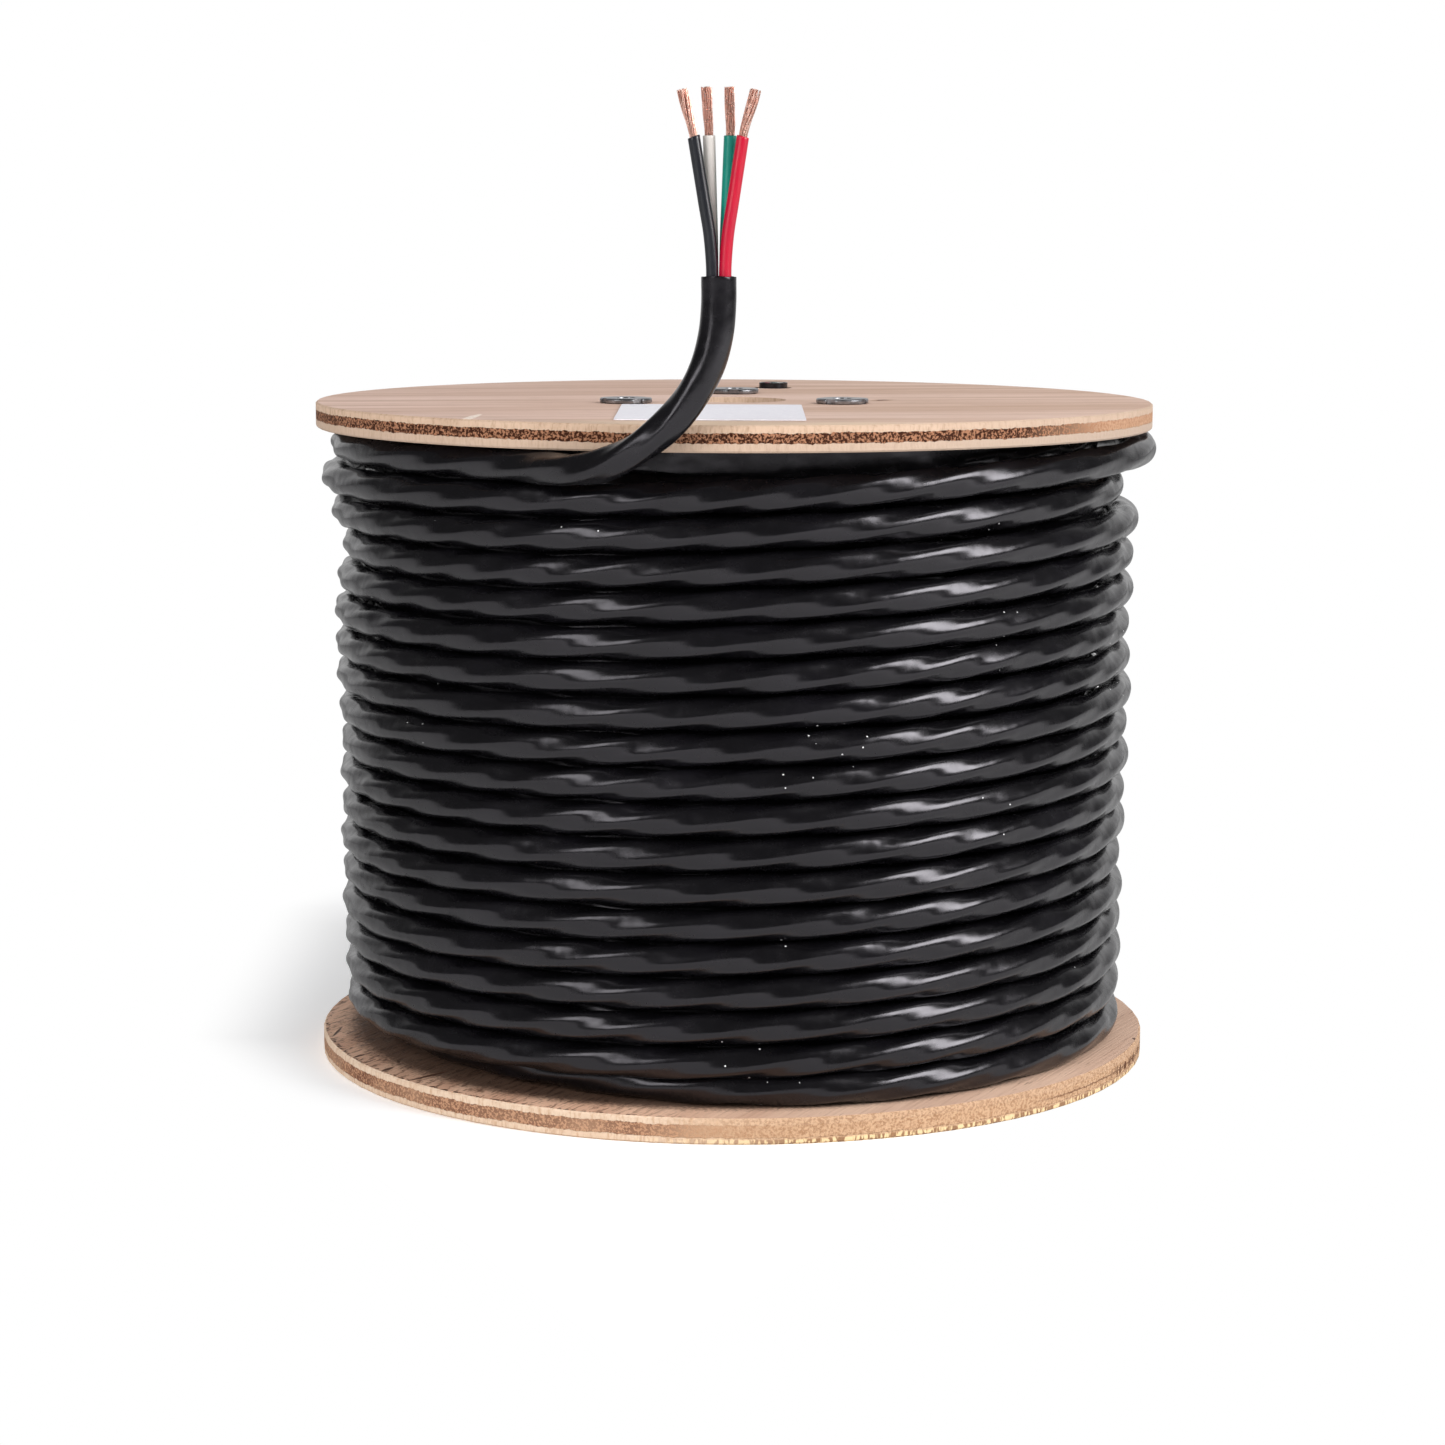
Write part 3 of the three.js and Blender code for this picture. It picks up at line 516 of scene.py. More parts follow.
def revolve(outline, sides):
    """A ring-shaped body from its closed outline of radius and height."""
    angles = np.arange(sides) / sides * TURN
    vertices = [(r * math.cos(a), r * math.sin(a), z) for a in angles for r, z in outline]
    count = len(outline)
    faces = []
    for i in range(sides):
        here, beside = i * count, (i + 1) % sides * count
        for k in range(count):
            after = (k + 1) % count
            faces.append((here + k, beside + k, beside + after, here + after))
    return vertices, faces


# ---- The free end

def tail_points():
    """The free end's route, from a cable's diameter past the winding's end."""
    end = layer_line(np.array([0.0]))[0]
    ahead = layer_end_direction()
    outward = outward_at(end)
    start = end + ahead * (CABLE_DIAMETER + SEAT_GAP)
    return np.array([start + MM * (a * ahead + o * outward + u * UP) for a, o, u in TAIL_ROUTE_MM])


def make_tail(material):
    line = catmull(tail_points(), 8)
    back = line[0] - layer_end_direction() * SEAT_GAP
    line = np.vstack([back, line])
    along = lengths(line)
    normals = carried_normals(line, outward_at(line[0]))
    twist = twist_along(along + CABLE_DIAMETER)
    twist = twist - twist[0] + twist_along(np.array([0.0]))[0]
    left = along[-1] - along
    lobing = CUT_LOBING + (1 - CUT_LOBING) * smooth((left - ROUND_END) / ROUNDING_RUN)
    radius = CABLE_RADIUS - SECTION_SLACK * smooth(left / ROUNDING_RUN)
    rings = lobed_rings(line, normals, twist, lobing, radius)
    rings = np.vstack([rings, cut_rings(rings[-1], line[-1], UP)])
    tail = add_piece("free_end", *loft(rings), material, replaced=("cable_tail",),
                     slot="cable_jacket", sharp=45)
    return tail, line


def cut_rings(rim, centre, direction):
    """A slightly uneven cut: the rim's rounding, the wall and the recess."""
    outward = unit(rim - centre - np.outer((rim - centre) @ direction, direction))
    angle = np.arange(len(rim)) / len(rim) * TURN
    uneven = 0.14 * MM * np.sin(2 * angle + 1) + 0.08 * MM * np.sin(5 * angle)
    shapes = (
        (CABLE_RADIUS - 0.03 * MM, 0.12 * MM, 1), (CABLE_RADIUS - 0.12 * MM, 0.22 * MM, 1),
        (JACKET_BORE_RADIUS + 0.1 * MM, 0.24 * MM, 1), (JACKET_BORE_RADIUS, 0.12 * MM, 1),
        (JACKET_BORE_RADIUS, -0.8 * MM, 0), (JACKET_BORE_RADIUS, -JACKET_RECESS, 0),
    )
    return np.array([
        centre + outward * radius + np.outer(height + share * uneven, direction)
        for radius, height, share in shapes
    ])


def core_points(side, depth, lean, top):
    """A core's route: straight out of the jacket, then leaning more until it stands at its lean."""
    foot = top + np.array([side * CORE_OFFSET, depth * CORE_OFFSET, SEAT_GAP - JACKET_RECESS])
    points = [foot, foot + UP * (JACKET_RECESS - SEAT_GAP + CORE_STRAIGHT)]
    stretch = (CORE_LENGTH - CORE_STRAIGHT) / CORE_BENDS
    for i in range(1, CORE_BENDS + 1):
        angle = math.radians(lean) * min(1, i / 2)
        points.append(points[-1] + stretch * np.array([math.sin(angle), 0, math.cos(angle)]))
    return np.array(points)


def make_core(name, side, depth, lean, slant, top, material):
    """One insulated core, cut with a slight slant, its end open for the copper."""
    line = catmull(core_points(side, depth, lean, top), 12)
    rings = plain_rings(line, CORE_DIAMETER / 2, 32)
    direction = tangents(line)[-1]
    left = lengths(line)[-1] - lengths(line)
    slanting = smooth(1 - left / SLANT_RUN)[:, None, None]
    away = rings - line[:, None, :]
    rings = rings + slanting * slant * away[..., :1] * direction
    rings = with_cut(rings, line[-1], direction, CORE_CUT)
    piece = add_piece(f"core_{name}", *loft(rings), material, replaced=(f"conductor_{name}",),
                      slot=f"core_{name}", sharp=50)
    return piece, line[-1], direction


def copper_line(end, direction, copper_lean):
    """The middle of a core's copper: out along the core, then leaning its own way."""
    lean = math.radians(copper_lean)
    away = np.array([math.sin(lean), 0, math.cos(lean)])
    points = [
        end + direction * (SEAT_GAP - COPPER_RECESS), end, end + (0.6 * direction + 0.4 * away) * 3 * MM,
        end + away * COPPER_LENGTH * 0.55, end + away * COPPER_LENGTH,
    ]
    return catmull(points, 4)


def make_strands(name, line, seed, material):
    """The core's bare copper: fine strands that twist and spread."""
    rng = np.random.default_rng(seed)
    share = lengths(line) / lengths(line)[-1]
    normals = carried_normals(line, RIGHT)
    beside = np.cross(tangents(line), normals)
    bundle = CORE_DIAMETER / 2 - INSULATION_WALL - STRAND_RADIUS - STRAND_CLEARANCE
    outermost = len(STRAND_COUNTS) - 1
    body = ([], [])
    for ring, count in enumerate(STRAND_COUNTS):
        for k in range(count):
            angle = k / count * TURN + rng.uniform(-AROUND, AROUND) + ring
            twist = STRAND_TWIST * share + rng.uniform(-TWISTING, TWISTING) * share ** 2
            flaring = STRAND_FLARE + rng.uniform(-FLARING, FLARING)
            flare = 1 + flaring * smooth(share * 1.1) * ring / outermost
            radius = bundle * ring / outermost * flare
            wobble = rng.normal(0, WOBBLE, 2)
            across = radius * np.cos(angle + twist) + wobble[0] * np.sin(share * 5)
            over = radius * np.sin(angle + twist) + wobble[1] * np.sin(share * 6)
            strand = line + across[:, None] * normals + over[:, None] * beside
            cut = 1 - SHORTENING * rng.uniform(0, 1)
            add_strand(body, strand[0] + (strand - strand[0]) * cut, STRAND_RADIUS)
    return add_piece(f"strands_{name}", *body, material,
                     replaced=(f"copper_strands_{name}",), slot="copper", sharp=60)


def make_free_end(jacket, insulation, copper):
    """The stripped end: the jacket's free end, its cores and their copper."""
    tail, line = make_tail(jacket)
    on_cord = []
    for seed, (name, side, depth, lean, copper_lean, slant) in enumerate(CORES, FIRST_SEED):
        core, end, direction = make_core(name, side, depth, lean, slant, line[-1], insulation[name])
        strands = make_strands(name, copper_line(end, direction, copper_lean), seed, copper)
        on_cord += [core, strands]


# ---- The cable's inner end

def make_inner_end(jacket, insulation, copper):
    """The cable's other end, with its cores."""
    centre = np.array([*((INNER_END_LOW + INNER_END_HIGH) / 2).xy, 0])
    cut = INNER_END_HIGH.z - INNER_CUT_DEPTH
    line = centre + np.outer(np.linspace(INNER_END_LOW.z, cut, 12), UP)
    normals = np.tile(RIGHT, (len(line), 1))
    twist = twist_along(line[:, 2]) + INNER_TWIST
    rings = lobed_rings(line, normals, twist, INNER_LOBING, CABLE_RADIUS - INNER_SLACK)
    rings = with_cut(rings, line[-1], UP, INNER_JACKET_CUT)
    add_piece("inner_end", *loft(rings), jacket, replaced=("cable_inner_end",),
              slot="cable_jacket", sharp=45)
    for number, name in enumerate(INNER_CORES):
        spot = line[-1] + polar(INNER_CORE_SPREAD, twist[-1] + number * TURN / LOBES, 0)
        make_inner_core(name, spot, insulation[name], copper)


def make_inner_core(name, spot, insulation, copper):
    """A core in the inner end, cut with it, and its copper."""
    line = spot + np.outer(INNER_CORE_ENDS, UP)
    top = line[-1]
    rings = with_cut(plain_rings(line, INNER_CORE_RADIUS, 24), top, UP, INNER_CORE_CUT)
    add_piece(f"inner_core_{name}", *loft(rings), insulation, slot=f"core_{name}", sharp=45)
    body = ([], [])
    for ring, count in enumerate(INNER_STRAND_COUNTS):
        for k in range(count):
            place = top + polar(ring * INNER_STRAND_SPACING, k / count * TURN, 0)
            add_strand(body, place + np.outer(INNER_STRAND_ENDS, UP), INNER_STRAND_RADIUS)
    add_piece(f"inner_strands_{name}", *body, copper, slot="copper", sharp=45)


# ---- Materials

def empty_tree(owner):
    """The node tree of a new material or world, cleared."""
    owner.use_nodes = True
    owner.node_tree.nodes.clear()
    return owner.node_tree


class Nodes:
    """A node tree, built by short calls. Sockets and plain numbers both work as inputs."""

    def __init__(self, tree):
        self.tree = tree

    def feed(self, node, inputs):
        for name, value in inputs.items():
            if isinstance(value, bpy.types.NodeSocket):
                self.tree.links.new(value, node.inputs[name])
            else:
                node.inputs[name].default_value = value

    def node(self, kind, inputs=None, **settings):
        made = self.tree.nodes.new(kind)
        for name, value in settings.items():
            setattr(made, name, value)
        self.feed(made, inputs or {})
        return made

    def math(self, operation, a, b=0.0, clamp=False):
        return self.node("ShaderNodeMath", {0: a, 1: b}, operation=operation, use_clamp=clamp).outputs[0]

    def plus(self, a, b):
        return self.math("ADD", a, b)

    def minus(self, a, b):
        return self.math("SUBTRACT", a, b)

    def times(self, a, b):
        return self.math("MULTIPLY", a, b)

    def length(self, a, b):
        return self.math("SQRT", self.plus(self.times(a, a), self.times(b, b)))

    def between(self, value, low, high, to_low=0.0, to_high=1.0):
        """A smooth step from to_low at low to to_high at high."""
        inputs = {"Value": value, "From Min": low, "From Max": high, "To Min": to_low, "To Max": to_high}
        return self.node("ShaderNodeMapRange", inputs, interpolation_type="SMOOTHSTEP").outputs[0]

    def parts(self, vector):
        return self.node("ShaderNodeSeparateXYZ", {0: vector}).outputs

    def mix_shaders(self, share, a, b):
        return self.node("ShaderNodeMixShader", {0: share, 1: a, 2: b}).outputs[0]

    def seen_directly(self):
        """Whether a ray comes from the camera, also through something clear."""
        seen = self.node("ShaderNodeLightPath").outputs
        return self.math("MAXIMUM", seen["Is Camera Ray"], seen["Is Transmission Ray"])


class Shader(Nodes):
    """A material with one surface shader."""

    def __init__(self, name, **constants):
        self.material = bpy.data.materials.new(name)
        super().__init__(empty_tree(self.material))
        self.surface = self.node("ShaderNodeBsdfPrincipled")
        self.node("ShaderNodeOutputMaterial", {"Surface": self.surface.outputs["BSDF"]})
        self.finish(**constants)
        self.place = self.node("ShaderNodeTexCoord").outputs["Object"]

    def finish(self, **inputs):
        """Feeds the surface's sockets, named with underscores here, and gives the material."""
        self.feed(self.surface, {name.replace("_", " "): value for name, value in inputs.items()})
        return self.material

    def moved(self, scale=(1, 1, 1), turn=0.0, vector=None):
        inputs = {"Vector": vector or self.place, "Rotation": (0, 0, turn), "Scale": scale}
        return self.node("ShaderNodeMapping", inputs).outputs[0]

    def stretched(self, turn, scale):
        """Coordinates turned about Z first, then scaled, so that grain runs at that angle."""
        return self.moved(scale=scale, vector=self.moved(turn=-turn))

    def noise(self, scale, detail=2.0, roughness=0.5, vector=None, distortion=0.0):
        inputs = {"Vector": vector or self.place, "Scale": scale, "Detail": detail,
                  "Roughness": roughness, "Distortion": distortion}
        return self.node("ShaderNodeTexNoise", inputs).outputs[0]

    def wander(self, scale, reach, roughness=0.5):
        """Noise around 0, from half the reach below it to half above."""
        return self.times(self.minus(self.noise(scale, 3.0, roughness), 0.5), reach)

    def cells(self, scale):
        return self.node("ShaderNodeTexVoronoi", {"Vector": self.place, "Scale": scale}).outputs["Distance"]

    def mix(self, share, a, b):
        return self.node("ShaderNodeMix", {0: share, 6: a, 7: b}, data_type="RGBA").outputs[2]

    def mix_numbers(self, share, a, b):
        return self.node("ShaderNodeMix", {0: share, 2: a, 3: b}, data_type="FLOAT").outputs[0]

    def bump(self, height, distance, **after):
        """A bumped normal, after another one given as Normal."""
        inputs = {"Height": height, "Distance": distance, "Strength": 1.0, **after}
        return self.node("ShaderNodeBump", inputs).outputs[0]

    def disc(self, spot, ragged, scale):
        """How far inside a ragged ellipse on a face a point is: 0 at its edge, 1 in its middle."""
        x, y, half_length, half_width, turn = spot
        inputs = {"Vector": self.place, "Location": (x, y, 0), "Rotation": (0, 0, math.radians(turn)),
                  "Scale": (half_length, half_width, 1)}
        own = self.node("ShaderNodeMapping", inputs, vector_type="TEXTURE")
        a, b = self.parts(own.outputs[0])[:2]
        distance = self.plus(self.length(a, b), self.wander(scale, ragged))
        return self.math("SUBTRACT", 1.0, distance, clamp=True)


def jacket_material():
    shader = Shader("cable_jacket", IOR=1.52, Specular_Tint=(0.97, 0.93, 1.0, 1))
    dents = shader.noise(70)
    fine = shader.noise(420, 3.0)
    scuffs = shader.noise(160, 4.0, vector=shader.moved(scale=(1, 1, 1.6)))
    specks = shader.math("LESS_THAN", shader.cells(260), 0.08)
    dust = shader.times(specks, shader.math("GREATER_THAN", shader.noise(24), 0.64))
    film = shader.between(shader.noise(30, 4.0, 0.6), 0.45, 0.75)
    base = shader.mix(film, JACKET_BLACK, JACKET_FILM)
    return shader.finish(Base_Color=shader.mix(dust, base, DUST),
                         Roughness=shader.between(scuffs, 0.3, 0.75, 0.20, 0.30),
                         Normal=shader.bump(fine, 0.02 * MM, Normal=shader.bump(dents, 0.5 * MM)))


def plastic_material(name, colour, shade, roughness):
    """Smooth insulation: a soft change of shade and faint draw lines."""
    shader = Shader(name, IOR=1.5, Coat_Weight=0.15, Coat_Roughness=0.2)
    cloud = shader.noise(55, 3.0)
    lines = shader.noise(700, vector=shader.moved(scale=(1, 1, 0.04)))
    return shader.finish(Base_Color=shader.mix(shader.between(cloud, 0.3, 0.7), colour, shade),
                         Roughness=shader.between(lines, 0.3, 0.7, roughness - 0.05, roughness + 0.08),
                         Normal=shader.bump(lines, 0.015 * MM, Normal=shader.bump(cloud, 0.1 * MM)))


def copper_material():
    shader = Shader("copper", Metallic=1.0)
    patches = shader.noise(500)
    long = shader.noise(900, vector=shader.moved(scale=(1, 1, 0.15)))
    colour = shader.mix(shader.between(patches, 0.35, 0.65), COPPER_BRIGHT, COPPER_DULL)
    return shader.finish(Base_Color=shader.mix(shader.between(long, 0.5, 0.8, 0, 0.5), colour, COPPER_GLINT),
                         Roughness=shader.between(patches, 0.3, 0.7, 0.22, 0.42),
                         Normal=shader.bump(long, 0.02 * MM))


def steel_material():
    """Zinc plate, a little dulled."""
    shader = Shader("zinc_steel", Metallic=1.0)
    cloud = shader.noise(260, 4.0, 0.6)
    return shader.finish(Base_Color=shader.mix(shader.between(cloud, 0.3, 0.7), ZINC_DARK, ZINC_LIGHT),
                         Roughness=shader.between(cloud, 0.3, 0.7, 0.28, 0.48),
                         Normal=shader.bump(shader.noise(1500), 0.02 * MM))


def fibre_material():
    """Wound kraft board, with fibres around it."""
    shader = Shader("fibreboard", Roughness=0.85)
    cloud = shader.noise(60, 5.0, 0.6)
    fibres = shader.noise(500, 3.0, vector=shader.moved(scale=(1, 1, 4)))
    base = shader.mix(shader.between(cloud, 0.3, 0.7), BOARD_BROWN, BOARD_TAN)
    return shader.finish(Base_Color=shader.mix(shader.between(fibres, 0.4, 0.8, 0, 0.5), base, BOARD_FIBRE),
                         Normal=shader.bump(fibres, 0.15 * MM))


def paper_material():
    """A bare label: faint ruled rows, a soft sheen and slight cockling."""
    shader = Shader("label_paper", IOR=1.45)
    rows = shader.node("ShaderNodeTexWave", {"Vector": shader.place, "Scale": 55},
                       wave_type="BANDS", bands_direction="Y")
    ruled = shader.between(rows.outputs["Fac"], 0.93, 0.99, 0, 0.35)
    fibres = shader.noise(600, 4.0)
    base = shader.mix(shader.between(fibres, 0.35, 0.7), PAPER_GREY, PAPER_WHITE)
    return shader.finish(Base_Color=shader.mix(ruled, base, RULED_BLUE),
                         Roughness=shader.between(fibres, 0.3, 0.7, 0.45, 0.62),
                         Normal=shader.bump(shader.noise(60), 0.6 * MM))


def plywood_material(name, low, plies, grain_turn, edge_look, marks):
    """Three plies on every edge, by height, and a rotary-cut face with its own grain, its marks and any
    painted shade given among the marks.
    """
    shader = Shader(name)
    x, _, z = shader.parts(shader.place)
    facing_up = shader.parts(shader.node("ShaderNodeNewGeometry").outputs["Normal"])[2]
    on_face = shader.between(shader.math("ABSOLUTE", facing_up), 0.72, 0.9)
    strokes = shader.noise(900, 3.0, 0.6, vector=shader.moved(scale=(1, 1, 0.3)))
    pores = shader.noise(1100, 3.0, 0.65)
    edge, in_core = ply_edge(shader, x, shader.minus(z, low), plies, strokes, pores, edge_look)

    face, rough = face_wood(shader, x, plies, grain_turn)
    for mark in marks:
        face, rough = mark(shader, face, rough)
    # Downward faces take the under colour; on the upper flange that colour is painted shade.
    face = shader.mix(shader.math("LESS_THAN", facing_up, 0.0), face, plies["under"])
    edge_height = shader.plus(strokes, shader.times(in_core, shader.times(pores, 1.5)))
    relief = shader.mix_numbers(on_face, edge_height, rough)
    return shader.finish(Base_Color=shader.mix(on_face, edge, face),
                         Roughness=shader.between(rough, 0.3, 0.7, 0.62, 0.85),
                         Specular_IOR_Level=shader.between(in_core, 0.0, 1.0, 0.5, 0.12),
                         Normal=shader.bump(relief, 0.28 * MM))


def ply_edge(shader, x, height, plies, strokes, pores, edge_look):
    """The edge's colour, and whether a point is in the core between the two outer plies."""
    height = shader.plus(height, shader.wander(28, 1.2 * MM))
    height = shader.plus(height, shader.wander(520, 1.6 * MM, 0.65))
    high_line = FLANGE_THICKNESS - plies["top"]
    low_line = high_line - plies["core"]
    above = shader.between(height, high_line - PLY_BLEND, high_line + PLY_BLEND)
    over_core = shader.between(height, low_line - PLY_BLEND, low_line + PLY_BLEND)
    in_core = shader.math("SUBTRACT", over_core, above, clamp=True)
    bands = shader.noise(22, 3.0)
    cream = shader.mix(shader.between(strokes, 0.42, 0.75), plies["cream"], plies["tan"])
    cream = shader.mix(shader.between(bands, 0.4, 0.7, 0, 0.4), cream, plies["tan"])
    brown = shader.mix(shader.between(pores, 0.475, 0.56), plies["brown"], plies["fleck"])
    return edge_look(shader, x, height, pores, bands, in_core, cream, brown), in_core


def face_wood(shader, x, plies, grain_turn):
    """The face's colour and its height, with bands, fibres and pores along the grain."""
    broad_grain = shader.stretched(grain_turn, (4, 60, 60))
    broad = shader.noise(1.0, 5.0, 0.55, vector=broad_grain, distortion=0.6)
    fibre = shader.noise(1.0, 3.0, 0.6, vector=shader.stretched(grain_turn, (26, 900, 900)))
    pore_line = shader.noise(1.0, 2.0, 0.5, vector=shader.stretched(grain_turn, (90, 1300, 1300)))
    cloud = shader.noise(9, 3.0)
    shade = shader.between(broad, 0.32, 0.68)
    on_right = shader.between(x, -0.05, 0.05)
    wood = shader.mix(on_right, shader.mix(shade, plies["face_left"], plies["face_left_shade"]),
                      shader.mix(shade, plies["face"], plies["face_shade"]))
    wood = shader.mix(shader.between(cloud, 0.4, 0.75, 0, 0.35), wood, plies["face_shade"])
    wood = shader.mix(shader.between(fibre, 0.5, 0.8, 0, 0.4), wood, GRAIN_BROWN)
    wood = shader.mix(shader.between(pore_line, 0.64, 0.76, 0, 0.55), wood, DARK_PORE)
    return wood, fibre


def upper_edge(shader, x, height, pores, bands, in_core, cream, brown):
    """A dark flecked core, which turns tan and smooth at the right, between pale plies."""
    core_tan = shader.mix(shader.between(pores, 0.4, 0.65), CORE_TAN_LIGHT, CORE_TAN_DARK)
    turning = shader.between(x, 0.085, 0.145)
    flecked = shader.plus(shader.times(turning, 1.3), shader.minus(bands, 0.65))
    core = shader.mix(shader.between(flecked, 0.0, 1.0), brown, core_tan)
    below = shader.between(height, 2.5 * MM, 3.4 * MM, 0.5, 0.0)
    duller = shader.plus(below, shader.between(x, 0.0, 0.12, 0.0, 0.5))
    cream = shader.mix(duller, cream, DULL_CREAM)
    return shader.mix(in_core, cream, core)


def lower_edge(shader, x, height, pores, bands, in_core, cream, brown):
    """Brown core between cream plies at the left, one porous tan with a yellow hem at the right."""
    core = shader.mix(shader.between(bands, 0.35, 0.75, 0, 0.65), brown, LOWER_PLIES["tan"])
    plied = shader.mix(in_core, cream, core)
    porous = shader.mix(shader.between(pores, 0.42, 0.62), POROUS_TAN, POROUS_BROWN)
    blobs = shader.between(shader.noise(760, 1.0, vector=shader.moved(scale=(1, 1, 0.3))), 0.44, 0.56)
    hem = shader.between(height, 1.5 * MM, 2.2 * MM, 1.0, 0.0)
    porous = shader.mix(hem, porous, shader.mix(blobs, HEM_BROWN, EDGE_YELLOW))
    from_split = shader.math("ABSOLUTE", shader.minus(height, 4.4 * MM))
    split = shader.between(from_split, 0.1 * MM, 0.45 * MM, 1.0, 0.0)
    split = shader.times(split, shader.between(x, 0.100, 0.118))
    slits = shader.between(shader.noise(800, 1.0, vector=shader.moved(scale=(1, 1, 0.2))), 0.5, 0.56)
    slits = shader.times(slits, shader.between(from_split, 1.2 * MM, 1.9 * MM, 1.0, 0.0))
    slits = shader.times(slits, shader.between(x, 0.132, 0.140))
    torn = shader.math("MAXIMUM", shader.times(split, 0.7), slits)
    porous = shader.mix(torn, porous, DARK_PORE)
    return shader.mix(shader.between(x, -0.05, 0.03), plied, porous)


def small_knot(shader, wood, rough):
    inside = shader.disc(KNOT, 0.9, 260)
    halo = shader.between(inside, 0.0, 0.45, 0.0, 0.55)
    heart = shader.between(inside, 0.55, 0.75, 0.0, 0.9)
    wood = shader.mix(halo, wood, KNOT_BROWN)
    return shader.mix(heart, wood, DARK_PORE), rough


def pale_scratch(shader, wood, rough):
    """Two thin scraped lines near the front rim."""
    scraped = shader.between(shader.noise(900, 2.0), 0.35, 0.5)
    for scratch in SCRATCHES:
        inside = shader.between(shader.disc(scratch, 0.5, 400), 0.05, 0.4)
        wood = shader.mix(shader.times(inside, scraped), wood, PALE_SCRAPE)
    return wood, rough


def cream_rim(shader, wood, rough):
    """Towards the front the face is sanded through to a creamier ply."""
    y = shader.plus(shader.parts(shader.place)[1], shader.wander(30, 0.03))
    share = shader.between(y, -0.150, -0.118, 0.75, 0.0)
    return shader.mix(share, wood, SANDED_CREAM), rough


def fuzzy_left(shader, wood, rough):
    """A rough, mottled grain on the left side, with dark specks along the rim."""
    x, y = shader.parts(shader.place)[:2]
    on_left = shader.between(x, -0.06, 0.01, 1.0, 0.0)
    fuzz = shader.noise(1.0, 3.0, 0.7, vector=shader.stretched(math.radians(62), (110, 560, 560)))
    dark = shader.times(shader.between(fuzz, 0.5, 0.66), on_left)
    wood = shader.mix(shader.times(dark, 0.8), wood, FUZZ_BROWN)
    out = shader.length(x, y)
    near_rim = shader.times(shader.between(out, 0.1498, 0.1505), shader.between(out, 0.1524, 0.1518))
    specks = shader.between(shader.noise(520, 1.0), 0.56, 0.6)
    specks = shader.times(specks, shader.times(near_rim, on_left))
    wood = shader.mix(specks, wood, DARK_PORE)
    return wood, shader.minus(rough, shader.times(dark, 0.8))


def painted_shade_at_winding(shader, wood, rough):
    """Painted shade: the face is darker where the cable lies on it, and further out at the left, where the
    winding's shadow falls.
    """
    x, y = shader.parts(shader.place)[:2]
    out = shader.plus(shader.length(x, y), shader.times(x, 0.022))
    out = shader.plus(out, shader.wander(700, 0.012, 0.7))
    # A ring of painted shade, darkest under the cable
    share = shader.between(out, 0.1350, 0.1450, 0.85, 0.0)
    return shader.mix(share, wood, WINDING_PAINTED_SHADE), rough


def cracks(shader, wood, rough):
    """Short dark checks near the rim at the left, and one at the right."""
    for place in CRACKS:
        crack = shader.between(shader.disc(place, 0.9, 260), 0.02, 0.3)
        wood = shader.mix(shader.times(crack, 0.9), wood, CRACK_BROWN)
        rough = shader.minus(rough, crack)
    return wood, rough


# ---- CAD nodes that keep their shape

def edge_softener():
    """A node group that drops any stored normals and smooths all but the sharp edges."""
    group = bpy.data.node_groups.new("soft_edges", "GeometryNodeTree")
    for way in ("INPUT", "OUTPUT"):
        group.interface.new_socket("Geometry", in_out=way, socket_type="NodeSocketGeometry")
    nodes = Nodes(group)
    start = nodes.node("NodeGroupInput").outputs[0]
    plain = nodes.node("GeometryNodeRemoveAttribute", {"Geometry": start, "Name": "custom_normal"})
    smoothed = nodes.node("GeometryNodeSetShadeSmooth", {"Geometry": plain.outputs["Geometry"]})
    angle = nodes.node("GeometryNodeInputMeshEdgeAngle").outputs["Unsigned Angle"]
    under = nodes.node("FunctionNodeCompare", {"A": angle, "B": SHARP_EDGE}, operation="LESS_THAN")
    inputs = {"Geometry": smoothed.outputs["Geometry"], "Shade Smooth": under.outputs["Result"]}
    sharpened = nodes.node("GeometryNodeSetShadeSmooth", inputs, domain="EDGE")
    nodes.node("NodeGroupOutput", {0: sharpened.outputs["Geometry"]})
    return group


def dress(node, material, softener, rounding):
    """Gives a CAD node its finish, and slightly rounded edges where a rounding is given."""
    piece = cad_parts[node]
    piece.data.materials.clear()
    piece.data.materials.append(material)
    weld = piece.modifiers.new("weld", "WELD")
    weld.merge_threshold = 0.002 * MM
    if rounding:
        bevel = piece.modifiers.new("bevel", "BEVEL")
        bevel.width = rounding
        bevel.segments = 2
        bevel.limit_method = "ANGLE"
        bevel.angle_limit = SHARP_EDGE
    shading = piece.modifiers.new("shading", "NODES")
    shading.node_group = softener


# ---- Stage

def floor_material():
    """Where it's seen, pale near the reel and white away from it; plain for all other rays."""
    material = bpy.data.materials.new("floor")
    nodes = Nodes(empty_tree(material))
    x, y = nodes.parts(nodes.node("ShaderNodeTexCoord").outputs["Object"])[:2]
    sideways = nodes.math("ABSOLUTE", nodes.minus(x, FADE_MIDDLE))
    front = nodes.math("MAXIMUM", nodes.times(y, FADE_IN_FRONT), 0.0)
    back = nodes.math("MAXIMUM", nodes.times(nodes.minus(y, BEHIND_FROM), FADE_BEHIND), 0.0)
    fade = nodes.between(nodes.plus(sideways, nodes.plus(front, back)), FADE_START, FADE_END)
    plain, shown = (nodes.node("ShaderNodeBsdfDiffuse", {"Color": colour}).outputs[0]
                    for colour in (FLOOR_COLOUR, FLOOR_SHOWN))
    near = nodes.mix_shaders(fade, shown, nodes.node("ShaderNodeEmission").outputs[0])
    look = nodes.mix_shaders(nodes.seen_directly(), plain, near)
    nodes.node("ShaderNodeOutputMaterial", {"Surface": look})
    return material


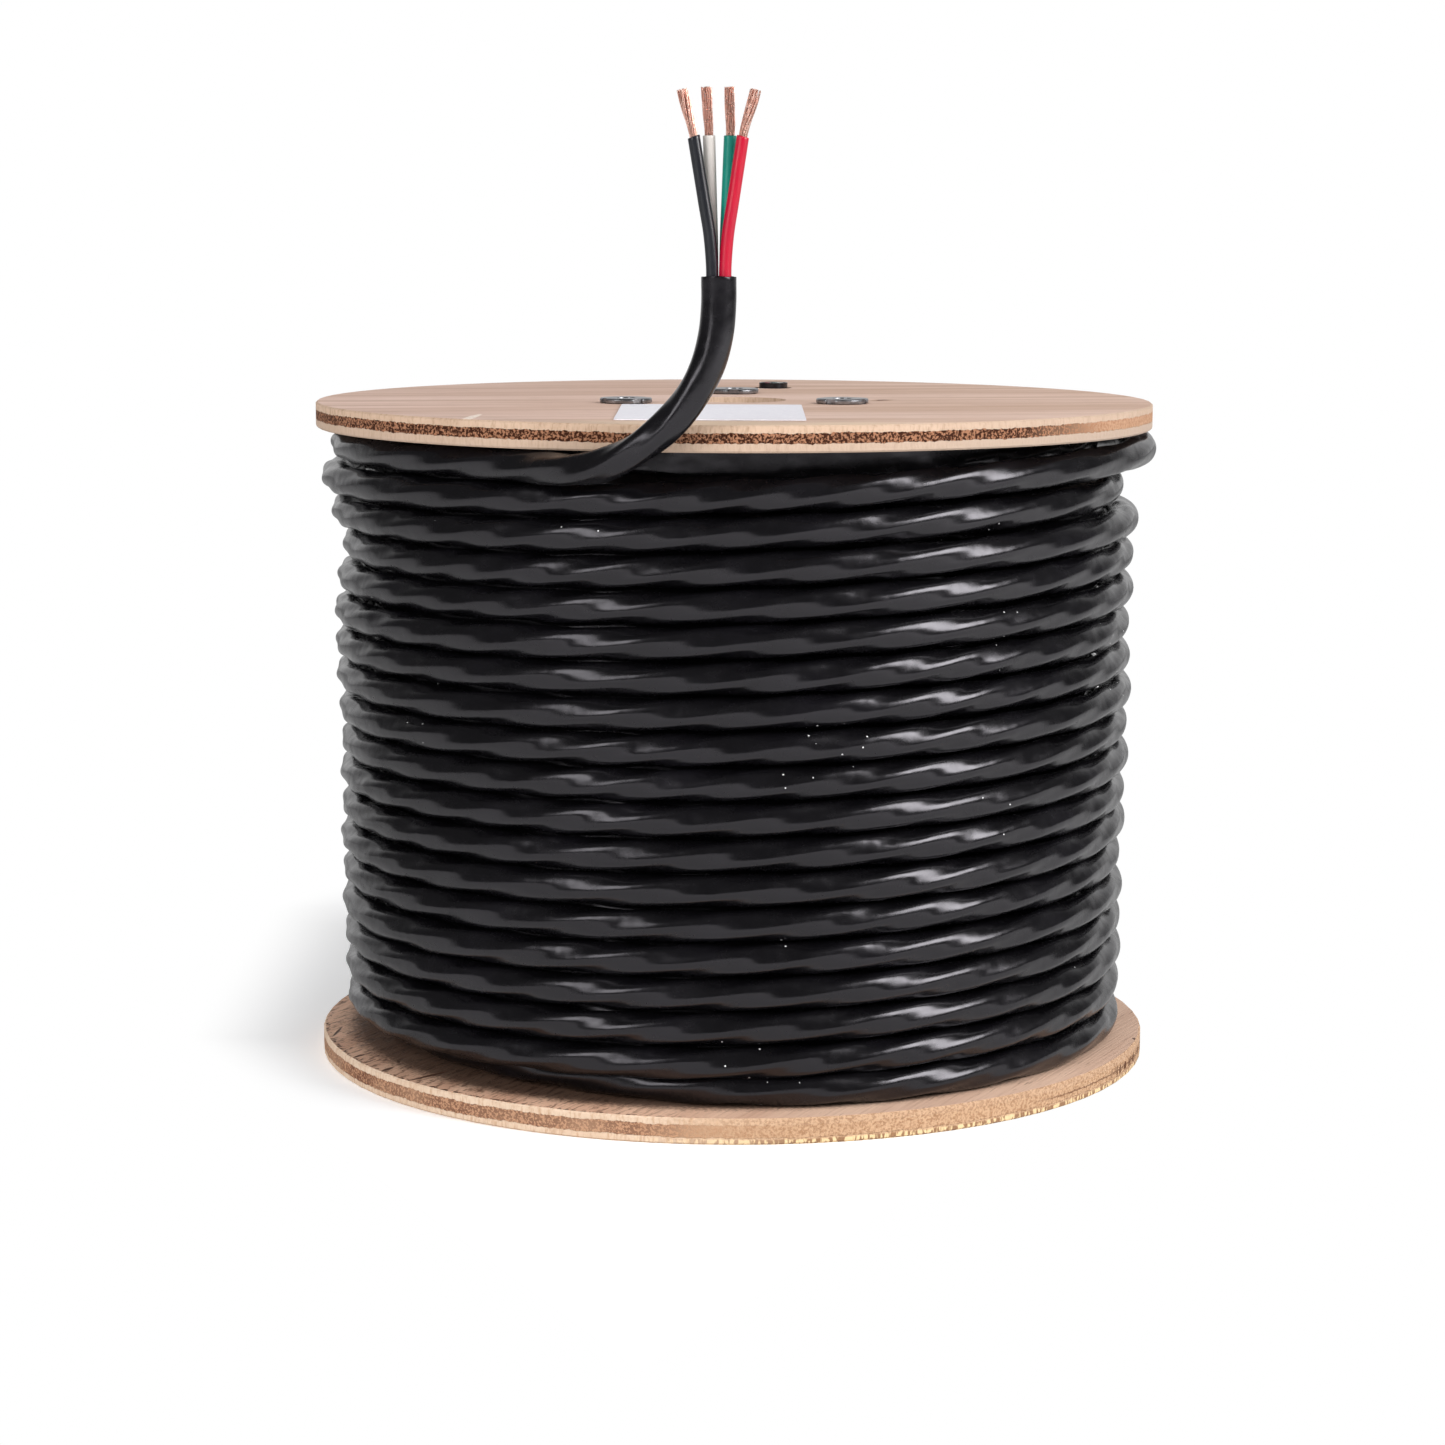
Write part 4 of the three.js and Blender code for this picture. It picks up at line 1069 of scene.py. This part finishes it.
def make_floor():
    """A pale floor that fades to the white of the backdrop away from the reel."""
    size = FLOOR_HALF_SIZE
    corners = [(-size, -size, 0), (size, -size, 0), (size, size, 0), (-size, size, 0)]
    mesh = bpy.data.meshes.new("floor")
    mesh.from_pydata(corners, [], [(0, 1, 2, 3)])
    mesh.materials.append(floor_material())
    floor = add_object("floor", mesh)
    floor.location.z = -FLOOR_DROP


def make_world():
    """White for the camera, soft on the reel, and in reflections bright only at the back."""
    world = bpy.data.worlds.new("surround")
    bpy.context.scene.world = world
    nodes = Nodes(empty_tree(world))
    y = nodes.parts(nodes.node("ShaderNodeTexCoord").outputs["Generated"])[1]
    behind = nodes.between(y, BACKDROP_FROM, BACKDROP_FULL, MIRRORED_DIM, MIRRORED_BRIGHT)
    backgrounds = ({"Strength": AMBIENT_STRENGTH}, {"Strength": behind}, {"Color": (1, 1, 1, 1)})
    ambient, mirrored, white = (
        nodes.node("ShaderNodeBackground", inputs).outputs[0] for inputs in backgrounds)
    glossy = nodes.node("ShaderNodeLightPath").outputs["Is Glossy Ray"]
    look = nodes.mix_shaders(nodes.seen_directly(), nodes.mix_shaders(glossy, ambient, mirrored), white)
    nodes.node("ShaderNodeOutputWorld", {"Surface": look})


def make_lamp(name, place, size, power, mirrored):
    data = bpy.data.lights.new(name, "AREA")
    data.shape = "RECTANGLE"
    data.size, data.size_y = size
    data.energy = power
    lamp = add_object(name, data)
    lamp.location = place
    lamp.visible_glossy = mirrored
    lamp.rotation_mode = "QUATERNION"
    lamp.rotation_quaternion = (Vector(place) - LAMP_TARGET).to_track_quat("Z", "Y")


# ---- The whole

def make_cable():
    jacket, copper = jacket_material(), copper_material()
    insulation = {name: plastic_material(f"core_{name}", *look) for name, look in INSULATION.items()}
    make_free_end(jacket, insulation, copper)
    make_winding(jacket)
    make_pack_core(jacket)
    make_inner_end(jacket, insulation, copper)


def dress_reel():
    softener = edge_softener()
    upper = plywood_material("plywood_upper", UPPER_FLANGE_LOW.z, UPPER_PLIES, math.radians(8),
                             upper_edge, (cream_rim, small_knot, pale_scratch))
    # Among the lower face's marks is a painted shade at the winding.
    lower = plywood_material("plywood_lower", LOWER_FLANGE_LOW.z, LOWER_PLIES, math.radians(65),
                             lower_edge, (fuzzy_left, painted_shade_at_winding, cracks))
    dress("top_flange", upper, softener, 0)
    dress("bottom_flange", lower, softener, 0)
    dress("barrel", fibre_material(), softener, 0)
    dress("flange_label", paper_material(), softener, 0)
    steel = steel_material()
    for number in (1, 2, 3):
        dress(f"tie_bolt_{number}", steel, softener, 0.15 * MM)
        dress(f"tee_nut_{number}", steel, softener, 0.12 * MM)


def main():
    make_camera()
    make_cable()
    dress_reel()
    make_floor()
    make_world()
    for lamp in LAMPS:
        make_lamp(*lamp)


main()
bpy.context.scene.view_settings.view_transform = "Standard"
